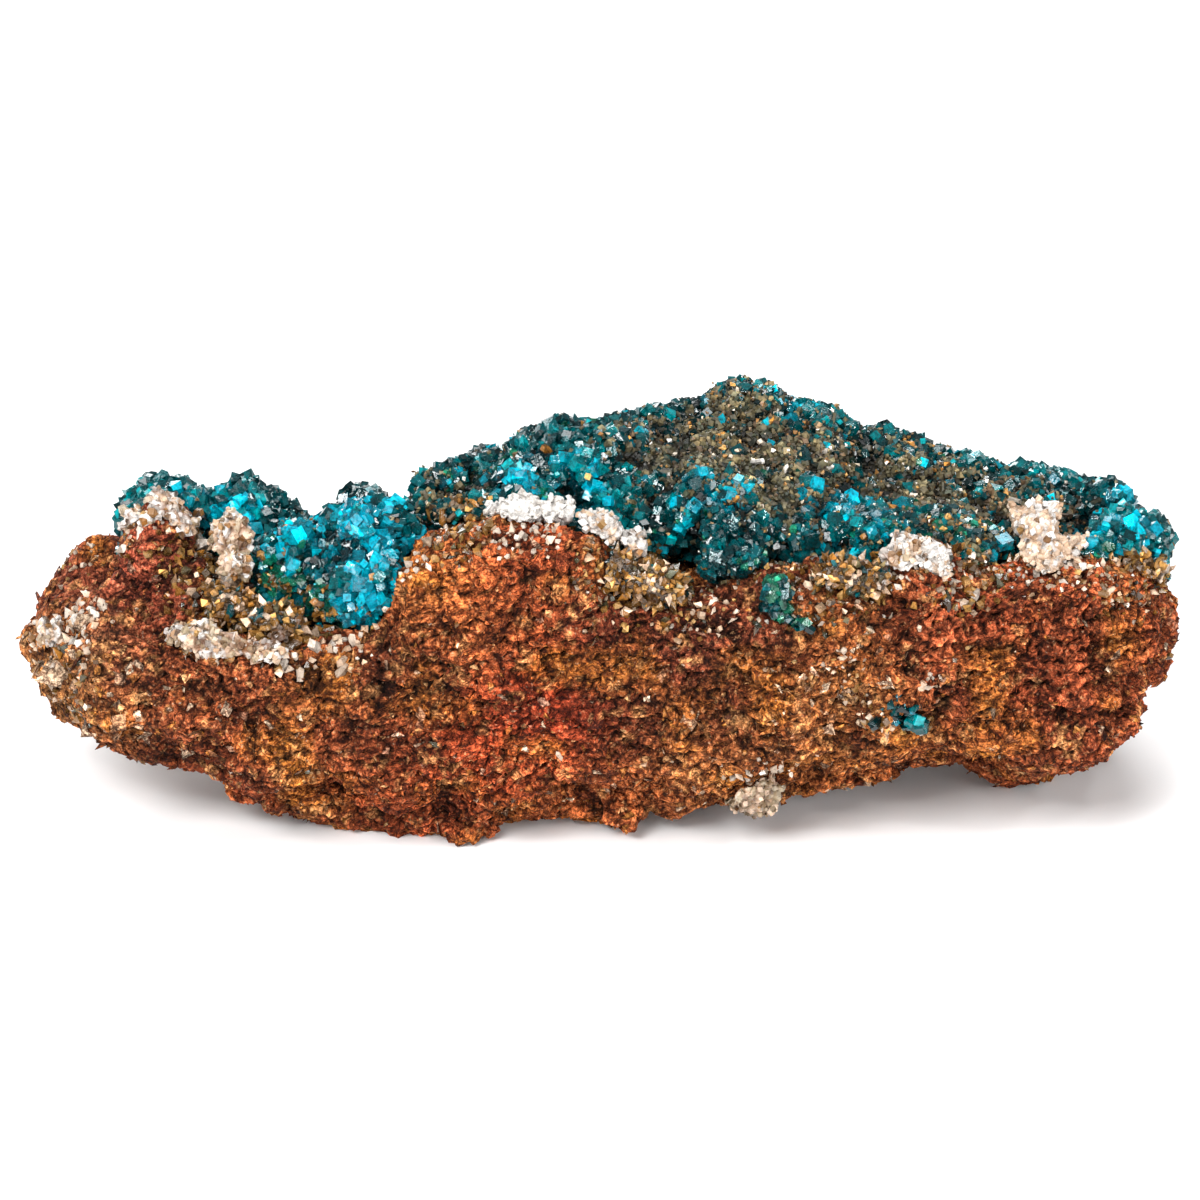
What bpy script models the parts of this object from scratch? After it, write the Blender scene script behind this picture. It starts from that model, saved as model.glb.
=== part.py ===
"""Dioptase on an iron-stained rock: a hand-sized specimen, lying as it rests on a table.

Metres, +Z up, +X along the specimen, -Y towards the side that shows best.
The origin is on the surface that the rock rests on, under the middle of the specimen.
The tables are in millimetres, because that is how such a specimen is measured.
"""

import math
import random

import bmesh
import bpy
from mathutils import Matrix, Vector, noise
from mathutils.bvhtree import BVHTree

MM = 0.001

# The rock's sections along X, in millimetres. Each row gives:
# x, underside z, front toe y, front belly y, front rim z, crest z, back y, crust thickness.
SECTIONS = (
    (-68.6, 18.5, -3.0, -4.5, 20.5, 21.0, 4.0, 0.0),
    (-66.5, 16.2, -6.0, -11.0, 22.5, 23.5, 10.0, 0.0),
    (-60.5, 11.2, -10.0, -20.0, 26.0, 28.0, 18.5, 0.0),
    (-54.5, 7.8, -12.0, -23.0, 27.5, 32.5, 21.5, 4.0),
    (-47.5, 8.2, -13.0, -24.0, 26.0, 33.5, 23.5, 5.0),
    (-41.0, 3.5, -14.0, -24.5, 26.0, 31.0, 25.0, 5.5),
    (-30.5, -0.6, -13.5, -25.0, 26.0, 30.0, 26.5, 5.5),
    (-24.5, -0.8, -13.5, -25.5, 27.5, 32.0, 27.5, 5.5),
    (-21.0, -0.8, -13.0, -26.0, 36.5, 34.5, 28.0, 5.0),
    (-11.5, -0.8, -10.0, -26.5, 40.5, 38.5, 28.5, 4.5),
    (-4.5, -0.2, -9.5, -26.5, 40.0, 42.5, 29.0, 5.0),
    (0.5, 0.8, -11.5, -26.0, 34.0, 43.0, 29.5, 5.5),
    (8.0, 2.6, -13.5, -26.0, 30.5, 44.0, 29.5, 5.5),
    (16.5, 2.6, -13.5, -26.0, 33.0, 46.5, 29.5, 5.5),
    (24.5, 3.2, -13.0, -25.5, 35.5, 45.0, 29.5, 5.5),
    (31.0, 5.4, -11.5, -25.0, 33.0, 41.0, 29.0, 5.5),
    (36.5, 5.6, -8.0, -24.5, 36.0, 40.0, 28.5, 5.0),
    (42.5, 5.0, -3.0, -23.5, 33.5, 38.6, 28.0, 5.0),
    (49.0, -0.6, 6.0, -22.5, 33.5, 37.2, 27.5, 5.0),
    (55.0, -0.8, 7.0, -21.5, 35.0, 35.6, 26.0, 5.0),
    (60.0, 4.5, 4.0, -19.5, 33.0, 33.4, 23.0, 4.5),
    (64.0, 12.0, 2.0, -15.5, 31.0, 30.0, 19.0, 3.5),
    (66.8, 16.5, -1.0, -10.5, 27.5, 26.5, 14.0, 1.0),
    (68.0, 19.0, -2.0, -5.5, 23.0, 22.5, 8.0, 0.0),
)
RINGS = 96
RING_POINTS = 48
CREST_AT = 0.62  # the crest's place between front and back

# Lumps on the rock: centre x, y, z and half sizes along x, y, z.
ROCK_LUMPS = (
    (-51.8, -8.0, 30.5, 4.6, 6.0, 7.4),  # the spur in front of the left knobs
    (-48.5, -12.0, 27.0, 5.0, 6.0, 5.5),
    (-56.5, -12.0, 25.0, 5.5, 6.0, 4.5),
    (-42.0, -13.0, 5.0, 3.5, 4.0, 3.0),
    (-28.5, -15.0, 2.6, 3.4, 3.4, 2.6),
    (-15.0, -16.5, 3.0, 3.6, 3.4, 2.6),
    (2.0, -15.0, 3.6, 3.6, 4.0, 3.0),
    (36.5, -19.5, 33.5, 4.2, 4.5, 3.2),
    (-8.0, -21.0, 33.5, 9.0, 5.5, 7.5),  # the boss beside the pocket
    (60.5, -13.0, 24.0, 6.0, 6.0, 5.0),
)
# Hollows in the rock, in the same form.
ROCK_HOLLOWS = (
    (-33.0, -22.0, 35.0, 9.0, 12.0, 10.0),  # the pocket
    (-16.5, -27.0, 36.5, 2.6, 4.0, 2.6),
    (6.5, -28.0, 36.5, 8.0, 6.5, 4.5),
    (35.6, -26.5, 18.3, 3.0, 3.4, 2.4),
    (-31.0, -21.5, 8.0, 5.0, 2.6, 2.0),
    (12.5, -24.5, 6.5, 3.5, 3.5, 3.0),
    (-45.0, -26.0, 14.0, 5.0, 3.0, 2.2),
    (49.0, -25.0, 20.0, 5.0, 3.0, 2.0),
)

# Crystal masses: centre x, y, z and half sizes along x, y, z.
LEFT_KNOBS = (
    (-52.0, 1.5, 33.8, 5.6, 5.6, 5.2),
    (-54.6, 0.0, 31.2, 2.8, 4.0, 4.4),
    (-41.6, 1.0, 33.2, 4.9, 5.4, 4.9),
    (-39.6, 2.5, 31.6, 3.8, 5.2, 4.8),
    (-47.0, 3.5, 31.5, 3.6, 4.6, 4.0),
)
POCKET_CRYSTALS = (
    (-36.0, -8.5, 32.6, 4.2, 4.6, 4.4),
    (-38.3, -11.5, 30.0, 3.2, 3.6, 3.4),
    (-33.5, -1.5, 30.5, 5.0, 6.5, 3.4),
    (-27.0, -9.5, 35.4, 4.8, 5.2, 5.0),
    (-28.4, -4.5, 36.0, 3.0, 3.8, 3.6),
    (-23.6, -7.5, 34.6, 3.0, 4.2, 3.8),
    (-26.4, -16.0, 30.6, 3.8, 4.8, 5.0),
    (-31.5, -14.0, 28.8, 3.6, 4.4, 3.6),
)
RIGHT_KNOB = (
    (61.2, -9.0, 33.8, 4.9, 5.0, 4.2),
    (64.8, -6.0, 32.8, 2.6, 4.6, 3.8),
    (57.6, -10.0, 33.4, 2.8, 3.4, 2.7),
)
MAIN_KNOBS = (
    (-4.0, -1.5, 40.6, 7.4, 8.5, 6.4),
    (-10.0, -7.5, 39.0, 4.0, 4.8, 3.8),
    (2.5, -7.0, 38.4, 4.4, 5.8, 5.0),
    (-18.5, 1.0, 37.2, 4.2, 5.0, 4.6),
    (-13.5, 3.5, 38.4, 3.8, 4.5, 3.8),
    (-17.6, -9.5, 36.2, 3.4, 4.0, 3.4),
    (7.6, 7.0, 42.0, 5.0, 5.5, 4.8),
    (12.0, -8.5, 39.6, 4.4, 4.8, 4.0),
    (17.2, -10.5, 39.8, 3.6, 4.4, 3.8),
    (14.0, -17.5, 34.2, 5.6, 4.4, 4.2),
    (22.0, -16.5, 35.4, 4.8, 4.4, 3.8),
    (17.0, 9.0, 43.2, 6.2, 6.5, 5.4),
    (25.0, 7.0, 42.6, 4.6, 5.5, 4.4),
    (32.5, -14.0, 36.6, 4.2, 4.4, 4.0),
    (28.0, -17.0, 36.0, 3.2, 3.8, 3.4),
    (36.0, 7.0, 39.8, 3.8, 4.5, 4.0),
    (43.0, 8.0, 36.0, 4.4, 5.5, 3.8),
    (40.0, -14.0, 35.4, 4.2, 4.4, 3.4),
    (46.0, -15.0, 34.0, 3.6, 4.2, 3.2),
    (50.5, 7.0, 35.4, 4.6, 6.0, 3.8),
    (57.0, 6.0, 33.4, 4.2, 6.0, 3.6),
    (60.5, 0.5, 36.0, 3.6, 4.5, 3.4),
)
QUARTZ_CENTRE = (
    (0.8, -21.5, 35.4, 3.4, 3.6, 3.4),
    (5.5, -21.5, 33.0, 4.0, 3.4, 3.6),
    (10.5, -22.0, 31.6, 3.4, 3.0, 2.6),
)
QUARTZ_RIGHT = (
    (26.6, -22.0, 35.0, 3.4, 3.0, 2.8),
    (31.2, -21.8, 33.4, 3.4, 3.2, 2.8),
)
QUARTZ_END = (
    (59.6, -16.0, 32.4, 3.6, 3.2, 2.4),
    (64.0, -12.6, 31.2, 2.8, 3.4, 2.2),
)
QUARTZ_POCKET = (
    (-43.5, -16.0, 29.6, 3.6, 4.0, 4.0),
    (-38.0, -19.5, 27.4, 3.8, 3.8, 3.4),
    (-33.0, -20.5, 26.8, 3.4, 3.6, 2.8),
)
CALCITE_SPUR = (
    (-51.6, -9.0, 38.0, 2.8, 3.2, 2.4),
    (-49.4, -10.0, 36.4, 2.4, 2.8, 2.0),
    (-54.0, -9.0, 36.4, 2.2, 2.8, 2.0),
)
CALCITE_RIDGE = (
    (-43.6, -11.5, 36.6, 3.2, 3.4, 3.4),
    (-42.6, -15.0, 33.2, 2.4, 3.0, 3.4),
)
CALCITE_POCKET = (
    (-47.8, -21.5, 27.6, 3.2, 3.2, 2.6),
    (-43.0, -22.5, 26.4, 3.0, 3.0, 2.2),
    (-38.4, -23.2, 25.6, 3.0, 2.8, 2.0),
)
CALCITE_NOSE = (
    (-60.8, -18.0, 25.0, 2.8, 3.0, 2.4),
    (-64.2, -13.5, 24.4, 2.4, 3.0, 2.2),
)
CALCITE_BOSS = (
    (-9.6, -18.0, 41.4, 3.6, 3.6, 2.6),
    (-5.0, -17.5, 41.2, 2.6, 3.2, 2.0),
)
CALCITE_SHOULDER = (
    (0.2, -19.5, 39.8, 3.2, 3.2, 2.4),
    (3.6, -19.6, 37.8, 2.2, 2.8, 2.2),
)
CALCITE_CENTRE = (
    (35.2, -19.8, 36.8, 3.2, 3.4, 2.4),
    (38.6, -20.6, 35.4, 2.2, 2.8, 2.0),
)
CALCITE_RIGHT = (
    (50.6, -13.5, 37.4, 3.4, 4.2, 3.8),
    (54.2, -15.4, 35.2, 2.8, 3.4, 2.4),
    (51.0, -17.6, 34.0, 2.2, 2.8, 2.6),
)
CALCITE_FOOT = (
    (17.6, -22.0, 8.6, 3.6, 3.2, 3.0),
    (18.8, -19.5, 5.4, 2.8, 3.2, 2.4),
)
VEIN_CRYSTALS = (
    (19.6, -25.2, 32.6, 1.8, 2.2, 3.0),
    (23.6, -25.2, 30.0, 2.8, 2.0, 1.2),
)
VUG_CRYSTALS = (
    (35.6, -24.6, 18.3, 2.6, 2.0, 1.7),
)

# Each mass with about how many facets it has before its points rise.
CALCITES = (
    ("calcite_spur", CALCITE_SPUR, 64),
    ("calcite_ridge", CALCITE_RIDGE, 64),
    ("calcite_pocket", CALCITE_POCKET, 80),
    ("calcite_nose", CALCITE_NOSE, 60),
    ("calcite_boss", CALCITE_BOSS, 64),
    ("calcite_shoulder", CALCITE_SHOULDER, 72),
    ("calcite_centre", CALCITE_CENTRE, 60),
    ("calcite_right", CALCITE_RIGHT, 80),
    ("calcite_foot", CALCITE_FOOT, 60),
)
QUARTZES = (
    ("quartz_pocket", QUARTZ_POCKET, 30),
    ("quartz_centre", QUARTZ_CENTRE, 36),
    ("quartz_right", QUARTZ_RIGHT, 32),
    ("quartz_end", QUARTZ_END, 32),
)
SMALL_DIOPTASES = (
    ("dioptase_vein", VEIN_CRYSTALS, 44),
    ("dioptase_vug", VUG_CRYSTALS, 30),
)

VOXEL = 0.8  # mm, the grain at which lumps are fused
GAP = 0.4  # mm between neighbouring pieces
ROCK_FACES = 3200
CRYSTAL_REACH = 0.36  # height of a crystal's point as a share of its face's width

IRON_ROCK = (0.36, 0.13, 0.06, 1.0)
DIOPTASE = (0.0, 0.30, 0.34, 1.0)
CALCITE = (0.80, 0.74, 0.66, 1.0)
STAINED_QUARTZ = (0.50, 0.31, 0.11, 1.0)


def clear_scene():
    for obj in list(bpy.data.objects):
        bpy.data.objects.remove(obj)


def material(name, colour, roughness):
    made = bpy.data.materials.new(name)
    made.use_nodes = True
    shader = made.node_tree.nodes["Principled BSDF"]
    shader.inputs["Base Color"].default_value = colour
    shader.inputs["Roughness"].default_value = roughness
    shader.inputs["Metallic"].default_value = 0.0
    made.diffuse_color = colour
    return made


def between(rows, x):
    """The values of a table at x, on a smooth curve through its rows."""
    last = len(rows) - 1
    i = next((n for n in range(last) if x <= rows[n + 1][0]), last - 1)
    before, here, there, after = (rows[min(max(n, 0), last)] for n in range(i - 1, i + 3))
    span = there[0] - here[0]
    t = min(max((x - here[0]) / span, 0.0), 1.0)
    values = []
    for k in range(1, len(here)):
        slope_here = (there[k] - before[k]) / (there[0] - before[0]) * span
        slope_there = (after[k] - here[k]) / (after[0] - here[0]) * span
        values.append(
            here[k] * (2 * t**3 - 3 * t**2 + 1)
            + slope_here * (t**3 - 2 * t**2 + t)
            + there[k] * (3 * t**2 - 2 * t**3)
            + slope_there * (t**3 - t**2)
        )
    return values


def outline(x):
    """The rock's section at x as corner points (y, z): underside, front face, shelf, back."""
    base, toe, front, rim, crest, back, crust = between(SECTIONS, x)
    deep = back - front
    tall = rim - base
    crest_y = front + CREST_AT * deep
    shelf = crest - crust
    return (
        (toe + 0.35 * deep, base),
        (toe, base),
        (0.5 * front + 0.5 * toe, base + 0.16 * tall),
        (front + 0.01 * deep, base + 0.36 * tall),
        (front, base + 0.62 * tall),
        (front + 0.02 * deep, base + 0.88 * tall),
        (front + 0.09 * deep, rim),
        (front + 0.20 * deep, rim + 0.12 * (crest - rim) - 0.35 * crust),
        (0.5 * (front + 0.20 * deep + crest_y), 0.45 * rim + 0.55 * shelf - 0.3 * crust),
        (crest_y, shelf),
        (front + 0.82 * deep, shelf - 0.10 * (shelf - base)),
        (back - 0.04 * deep, base + 0.66 * (shelf - base)),
        (back, base + 0.40 * (shelf - base)),
        (back - 0.10 * deep, base + 0.12 * (shelf - base)),
    )


def closed_curve(corners, count):
    """Points evenly spread, by number, on a smooth closed curve through the corners."""
    points = []
    size = len(corners)
    for n in range(count):
        at = n * size / count
        i = int(at)
        t = at - i
        p0, p1, p2, p3 = (Vector(corners[(i + k) % size]) for k in (-1, 0, 1, 2))
        points.append(
            0.5
            * (
                2 * p1
                + (p2 - p0) * t
                + (2 * p0 - 5 * p1 + 4 * p2 - p3) * t**2
                + (3 * p1 - p0 - 3 * p2 + p3) * t**3
            )
        )
    return points


def add_loft(bm):
    """The rock's body, as rings of points along X with closed ends."""
    first, last = SECTIONS[0][0], SECTIONS[-1][0]
    rings = []
    for n in range(RINGS):
        # More rings near the ends, where the section changes fastest.
        share = 0.5 - 0.5 * math.cos(math.pi * n / (RINGS - 1))
        x = first + (last - first) * (0.5 * share + 0.5 * n / (RINGS - 1))
        ring = [bm.verts.new((x, y, z)) for y, z in closed_curve(outline(x), RING_POINTS)]
        rings.append(ring)
    for here, there in zip(rings, rings[1:]):
        for k in range(RING_POINTS):
            m = (k + 1) % RING_POINTS
            bm.faces.new((here[k], here[m], there[m], there[k]))
    bm.faces.new(reversed(rings[0]))
    bm.faces.new(rings[-1])


def add_blocks(bm, lump, count=3):
    """Leaning blocks that fill a lump, for crystals with flat faces and square edges."""
    x, y, z, rx, ry, rz = lump
    for n in range(count):
        turn = Matrix.Rotation(random.uniform(0, 6.3), 4, Vector((1, 0, 0)))
        turn @= Matrix.Rotation(random.uniform(0, 6.3), 4, Vector((0, 0, 1)))
        lean = Matrix.Shear("XY", 4, (0.25, 0.15))
        shift = [random.uniform(-0.35, 0.35) * half for half in (rx, ry, rz)]
        place = Matrix.Translation((x + shift[0], y + shift[1], z + shift[2]))
        squash = Matrix.Diagonal((rx, ry, rz, 1.0))
        bmesh.ops.create_cube(bm, size=1.25, matrix=place @ squash @ turn @ lean)


def add_lump(bm, lump, subdivisions=3):
    x, y, z, rx, ry, rz = lump
    place = Matrix.Translation((x, y, z)) @ Matrix.Diagonal((rx, ry, rz, 1.0))
    bmesh.ops.create_icosphere(bm, subdivisions=subdivisions, radius=1.0, matrix=place)


def new_object(name, bm, finish=None):
    """An object from a bmesh that is in millimetres."""
    bmesh.ops.recalc_face_normals(bm, faces=bm.faces)
    mesh = bpy.data.meshes.new(name)
    bm.to_mesh(mesh)
    bm.free()
    obj = bpy.data.objects.new(name, mesh)
    bpy.context.scene.collection.objects.link(obj)
    if finish:
        mesh.materials.append(finish)
    return obj


def applied(obj):
    """Puts what the object's modifiers make into its own mesh."""
    graph = bpy.context.evaluated_depsgraph_get()
    mesh = bpy.data.meshes.new_from_object(obj.evaluated_get(graph))
    obj.modifiers.clear()
    obj.data = mesh
    return obj


def fused(obj, voxel=VOXEL):
    """Joins the object's overlapping shells into one skin."""
    step = obj.modifiers.new("fuse", "REMESH")
    step.mode = "VOXEL"
    step.voxel_size = voxel
    return applied(obj)


def evened(obj, model):
    """Slides the points along the surface of the model until the facets are alike in size."""
    bm = bmesh.new()
    bm.from_mesh(obj.data)
    for _ in range(4):
        bmesh.ops.smooth_vert(
            bm, verts=bm.verts, factor=0.5, use_axis_x=True, use_axis_y=True, use_axis_z=True
        )
        for vert in bm.verts:
            vert.co = model.find_nearest(vert.co)[0]
    bmesh.ops.beautify_fill(bm, faces=bm.faces, edges=bm.edges, method="ANGLE")
    bm.to_mesh(obj.data)
    bm.free()
    return obj


def thinned(obj, faces):
    """Fewer and larger facets, as many as the shape needs."""
    step = obj.modifiers.new("facets", "DECIMATE")
    step.ratio = min(1.0, faces / (2 * len(obj.data.polygons)))
    step.use_collapse_triangulate = True
    return applied(obj)


def cut(obj, other):
    step = obj.modifiers.new("cut", "BOOLEAN")
    step.operation = "DIFFERENCE"
    step.solver = "EXACT"
    step.use_self = True
    step.object = other
    return applied(obj)


def box_of(obj):
    points = [vert.co for vert in obj.data.vertices]
    low = [min(point[k] for point in points) for k in range(3)]
    high = [max(point[k] for point in points) for k in range(3)]
    return low, high


def boxes_meet(one, other):
    (low, high), (other_low, other_high) = box_of(one), box_of(other)
    return all(low[k] <= other_high[k] and other_low[k] <= high[k] for k in range(3))


def largest_piece(obj):
    """Drops the chips that a cut leaves, and keeps the one main body."""
    bm = bmesh.new()
    bm.from_mesh(obj.data)
    bmesh.ops.remove_doubles(bm, verts=bm.verts, dist=0.0005)
    left = set(bm.faces)
    pieces = []
    while left:
        piece = [left.pop()]
        for face in piece:
            # An edge with more than two faces is a pinch, so the piece ends there.
            edges = [edge for edge in face.edges if len(edge.link_faces) == 2]
            for other in {other for edge in edges for other in edge.link_faces} & left:
                left.remove(other)
                piece.append(other)
        pieces.append(piece)
    keep = set(max(pieces, key=lambda piece: sum(face.calc_area() for face in piece)))
    bmesh.ops.delete(bm, geom=[f for f in bm.faces if f not in keep], context="FACES")
    loose = [v for v in bm.verts if not v.link_faces]
    bmesh.ops.delete(bm, geom=loose, context="VERTS")
    bmesh.ops.triangulate(bm, faces=bm.faces)
    bm.to_mesh(obj.data)
    bm.free()
    return obj


def ledge(p):
    """How far out the rock stands at p for its broken, nearly level layers, from -1 to 1."""
    level = p.z + 5.0 * noise.noise(p / 16.0) + 1.6 * noise.noise(p / 5.0)
    height = (level / 6.5) % 1.0
    strength = noise.noise(Vector((p.x / 11.0, p.y / 11.0, math.floor(level / 6.5))))
    return (1.0 - 2.0 * height) * max(0.0, 0.25 + 1.6 * strength)


def roughened(obj, coarse, medium, fine, ledges=0.0):
    """Moves each point along its normal by noise of three sizes, and by broken ledges."""
    bm = bmesh.new()
    bm.from_mesh(obj.data)
    bm.normal_update()
    moves = []
    for vert in bm.verts:
        p = vert.co
        lift = coarse * noise.noise(p / 14.0)
        lift += medium * noise.noise(p / 6.0 + Vector((7.0, 3.0, 1.0)))
        lift += fine * noise.noise(p / 2.6 + Vector((1.0, 9.0, 4.0)))
        if ledges:
            lift += ledges * ledge(p) * (1.0 - abs(vert.normal.z))
        moves.append(vert.normal * lift)
    for vert, move in zip(bm.verts, moves):
        vert.co += move
    bm.to_mesh(obj.data)
    bm.free()
    return obj


def swollen(obj, by, name):
    """A copy of the object, larger all round, to cut a neighbour with."""
    mesh = obj.data.copy()
    copy = bpy.data.objects.new(name, mesh)
    bpy.context.scene.collection.objects.link(copy)
    bm = bmesh.new()
    bm.from_mesh(mesh)
    bm.normal_update()
    moves = [(vert, vert.normal * by * min(vert.calc_shell_factor(), 2.0)) for vert in bm.verts]
    for vert, move in moves:
        vert.co += move
    bm.to_mesh(mesh)
    bm.free()
    return copy


def surface_of(obj):
    bm = bmesh.new()
    bm.from_mesh(obj.data)
    tree = BVHTree.FromBMesh(bm)
    bm.free()
    return tree


def outside(tree, point, least):
    """Whether the point is at least so far outside the closed surface."""
    near, normal, _, distance = tree.find_nearest(point)
    return distance >= least and (point - near).dot(normal) > 0


def pointed(obj, rock_surface, reach):
    """Turns each outer facet into a three-faced crystal point."""
    bm = bmesh.new()
    bm.from_mesh(obj.data)
    bmesh.ops.triangulate(bm, faces=bm.faces)
    bm.normal_update()
    for face in list(bm.faces):
        middle = face.calc_center_median()
        if not outside(rock_surface, middle, 0.5):
            continue
        tip = middle + face.normal * reach * math.sqrt(face.calc_area())
        made = bmesh.ops.poke(bm, faces=[face])
        made["verts"][0].co = tip
    bm.to_mesh(obj.data)
    bm.free()
    return obj


def make_rock():
    bm = bmesh.new()
    add_loft(bm)
    for lump in ROCK_LUMPS:
        add_lump(bm, lump)
    rock = fused(new_object("matrix", bm))
    hollows = bmesh.new()
    for hollow in ROCK_HOLLOWS:
        add_lump(hollows, hollow)
    cutter = new_object("hollows", hollows)
    cut(rock, cutter)
    bpy.data.objects.remove(cutter)
    fused(rock)
    roughened(rock, coarse=1.8, medium=1.8, fine=0.9, ledges=1.0)
    thinned(rock, ROCK_FACES)
    level_base(rock)
    return largest_piece(rock)


def level_base(rock):
    """Cuts the underside off flat where the rock touches the table."""
    bm = bmesh.new()
    bm.from_mesh(rock.data)
    geometry = bm.verts[:] + bm.edges[:] + bm.faces[:]
    sliced = bmesh.ops.bisect_plane(
        bm, geom=geometry, plane_co=(0, 0, 0), plane_no=(0, 0, 1), clear_inner=True
    )
    rim = [item for item in sliced["geom_cut"] if isinstance(item, bmesh.types.BMEdge)]
    bmesh.ops.holes_fill(bm, edges=rim, sides=0)
    bmesh.ops.triangulate(bm, faces=bm.faces)
    bm.to_mesh(rock.data)
    bm.free()


def make_druse(name, lumps, faces, rock_surface, reach, voxel):
    """Fused lumps whose facets rise to crystal points."""
    bm = bmesh.new()
    for lump in lumps:
        add_lump(bm, lump)
    mass = fused(new_object(name, bm), voxel)
    roughened(mass, coarse=0.3, medium=0.5, fine=0.3)
    model = surface_of(mass)
    thinned(mass, faces)
    evened(mass, model)
    return pointed(mass, rock_surface, reach)


def make_blocks(name, lumps, faces):
    """Fused blocks with flat faces."""
    random.seed(name)
    bm = bmesh.new()
    for lump in lumps:
        add_blocks(bm, lump)
    return thinned(fused(new_object(name, bm), 0.35), faces)


def fitted(mass, cutters, finish):
    """A crystal mass cut to fit what it grew on, in its own material."""
    for cutter in cutters:
        if boxes_meet(mass, cutter):
            cut(mass, cutter)
    largest_piece(mass)
    mass.data.materials.clear()
    mass.data.materials.append(finish)
    return mass


def crust_lumps():
    """Rounded lumps all over the top, from behind the front rim to the back shoulder."""
    random.seed(11)
    lumps = []
    for column in range(18):
        x = -54.0 + 6.6 * column
        for row in range(7):
            lump = crust_lump(x + random.uniform(-1.6, 1.6), (row + 0.5) / 7)
            # On the left the crust covers only the back, behind the knobs and the pocket.
            if x > -19.0 or lump[1] > 11.0:
                lumps.append(lump)
    return tuple(lumps)


def crust_lump(x, share):
    base, toe, front, rim, crest, back, crust = between(SECTIONS, x)
    deep = back - front
    y = front + deep * (0.26 + 0.66 * share)
    crest_y = front + CREST_AT * deep
    if y < crest_y:
        t = (y - front) / (crest_y - front)
        top = rim + (crest - rim) * math.sin(0.5 * math.pi * t) ** 1.2
    else:
        t = (y - crest_y) / (back - crest_y)
        top = crest - 0.55 * (crest - base) * t**2.2
    top -= 0.9 if x > -19.0 else 2.4
    radius = random.uniform(4.4, 6.0)
    height = random.uniform(3.6, 4.8)
    return (x, y + random.uniform(-1.0, 1.0), top - height, radius, radius, height)


def dioptase_masses():
    return (
        ("dioptase_pocket", POCKET_CRYSTALS, 140),
        ("dioptase_left_knobs", LEFT_KNOBS, 105),
        ("dioptase_right_knob", RIGHT_KNOB, 70),
        ("dioptase_crust", MAIN_KNOBS + crust_lumps(), 660),
    )


def placed(objects):
    """Puts the middle of the specimen's footprint at the origin, and turns millimetres to metres."""
    boxes = [box_of(obj) for obj in objects]
    low = [min(box[0][k] for box in boxes) for k in range(3)]
    high = [max(box[1][k] for box in boxes) for k in range(3)]
    middle = Vector((0.5 * (low[0] + high[0]), 0.5 * (low[1] + high[1]), low[2]))
    for obj in objects:
        obj.data.transform(Matrix.Scale(MM, 4) @ Matrix.Translation(-middle))
        obj.data.update()


def main():
    clear_scene()
    dioptase = material("dioptase", DIOPTASE, 0.15)
    calcite = material("calcite", CALCITE, 0.45)
    quartz = material("stained_quartz", STAINED_QUARTZ, 0.35)
    stone = material("iron_rock", IRON_ROCK, 0.9)

    rock = make_rock()
    rock.data.materials.clear()
    rock.data.materials.append(stone)
    rock_surface = surface_of(rock)
    cutters = [swollen(rock, GAP, "rock_cutter")]
    made = [rock]

    def settle(mass, finish):
        made.append(fitted(mass, cutters, finish))
        cutters.append(swollen(mass, GAP, mass.name + "_cutter"))

    for name, lumps, faces in CALCITES:
        settle(make_blocks(name, lumps, faces), calcite)
    for name, lumps, faces in QUARTZES:
        settle(make_druse(name, lumps, faces, rock_surface, 0.3, VOXEL), quartz)
    for name, lumps, faces in SMALL_DIOPTASES:
        settle(make_druse(name, lumps, faces, rock_surface, CRYSTAL_REACH, 0.4), dioptase)
    for name, lumps, faces in dioptase_masses():
        settle(make_druse(name, lumps, faces, rock_surface, CRYSTAL_REACH, VOXEL), dioptase)

    for cutter in cutters:
        bpy.data.objects.remove(cutter)
    placed(made)


main()
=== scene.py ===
"""Dioptase on an iron-stained rock: its looks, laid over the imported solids.

The tables and the geometry are in millimetres in the object's own frame.
They turn to metres when a mesh is made. The camera, the lights and the floor are in metres.
"""

import math

import bpy
import numpy as np
from mathutils import Matrix, Vector
from mathutils.bvhtree import BVHTree
from mathutils.kdtree import KDTree


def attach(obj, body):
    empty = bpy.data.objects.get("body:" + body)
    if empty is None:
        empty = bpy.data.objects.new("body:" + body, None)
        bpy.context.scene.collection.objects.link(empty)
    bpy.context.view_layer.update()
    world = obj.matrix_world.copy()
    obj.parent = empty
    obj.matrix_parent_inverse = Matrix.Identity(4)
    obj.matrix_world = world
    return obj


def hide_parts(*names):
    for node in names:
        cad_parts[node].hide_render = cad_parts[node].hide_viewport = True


# A millimetre in metres, and a metre in millimetres.
MM = 0.001
METRE = 1000.0

# The camera stands in front, a little above, with a long lens.
CAMERA_TARGET = (0.0003, 0.0, 0.0233)
CAMERA_DISTANCE = 0.54
CAMERA_ELEVATION = 20.0
CAMERA_LENS = 135.0
LIGHT_TARGET = (0.0, 0.0, 0.02)
# Round lights: name, place, width, power. The small ones make glints.
LIGHTS = (
    ("key", (-0.35, -0.62, 0.62), 0.40, 8.4),
    ("fill", (0.55, -0.70, 0.30), 0.40, 4.6),
    ("top", (0.10, 0.10, 0.90), 0.50, 4.2),
    ("low", (-0.55, -0.60, 0.12), 0.40, 2.8),
    ("back", (-0.30, 0.80, 0.35), 0.50, 4.0),
    ("glint_0", (0.25, -0.45, 0.62), 0.05, 0.6),
    ("glint_1", (-0.12, -0.60, 0.42), 0.05, 0.6),
    ("glint_2", (0.50, -0.30, 0.50), 0.05, 0.6),
)

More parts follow.
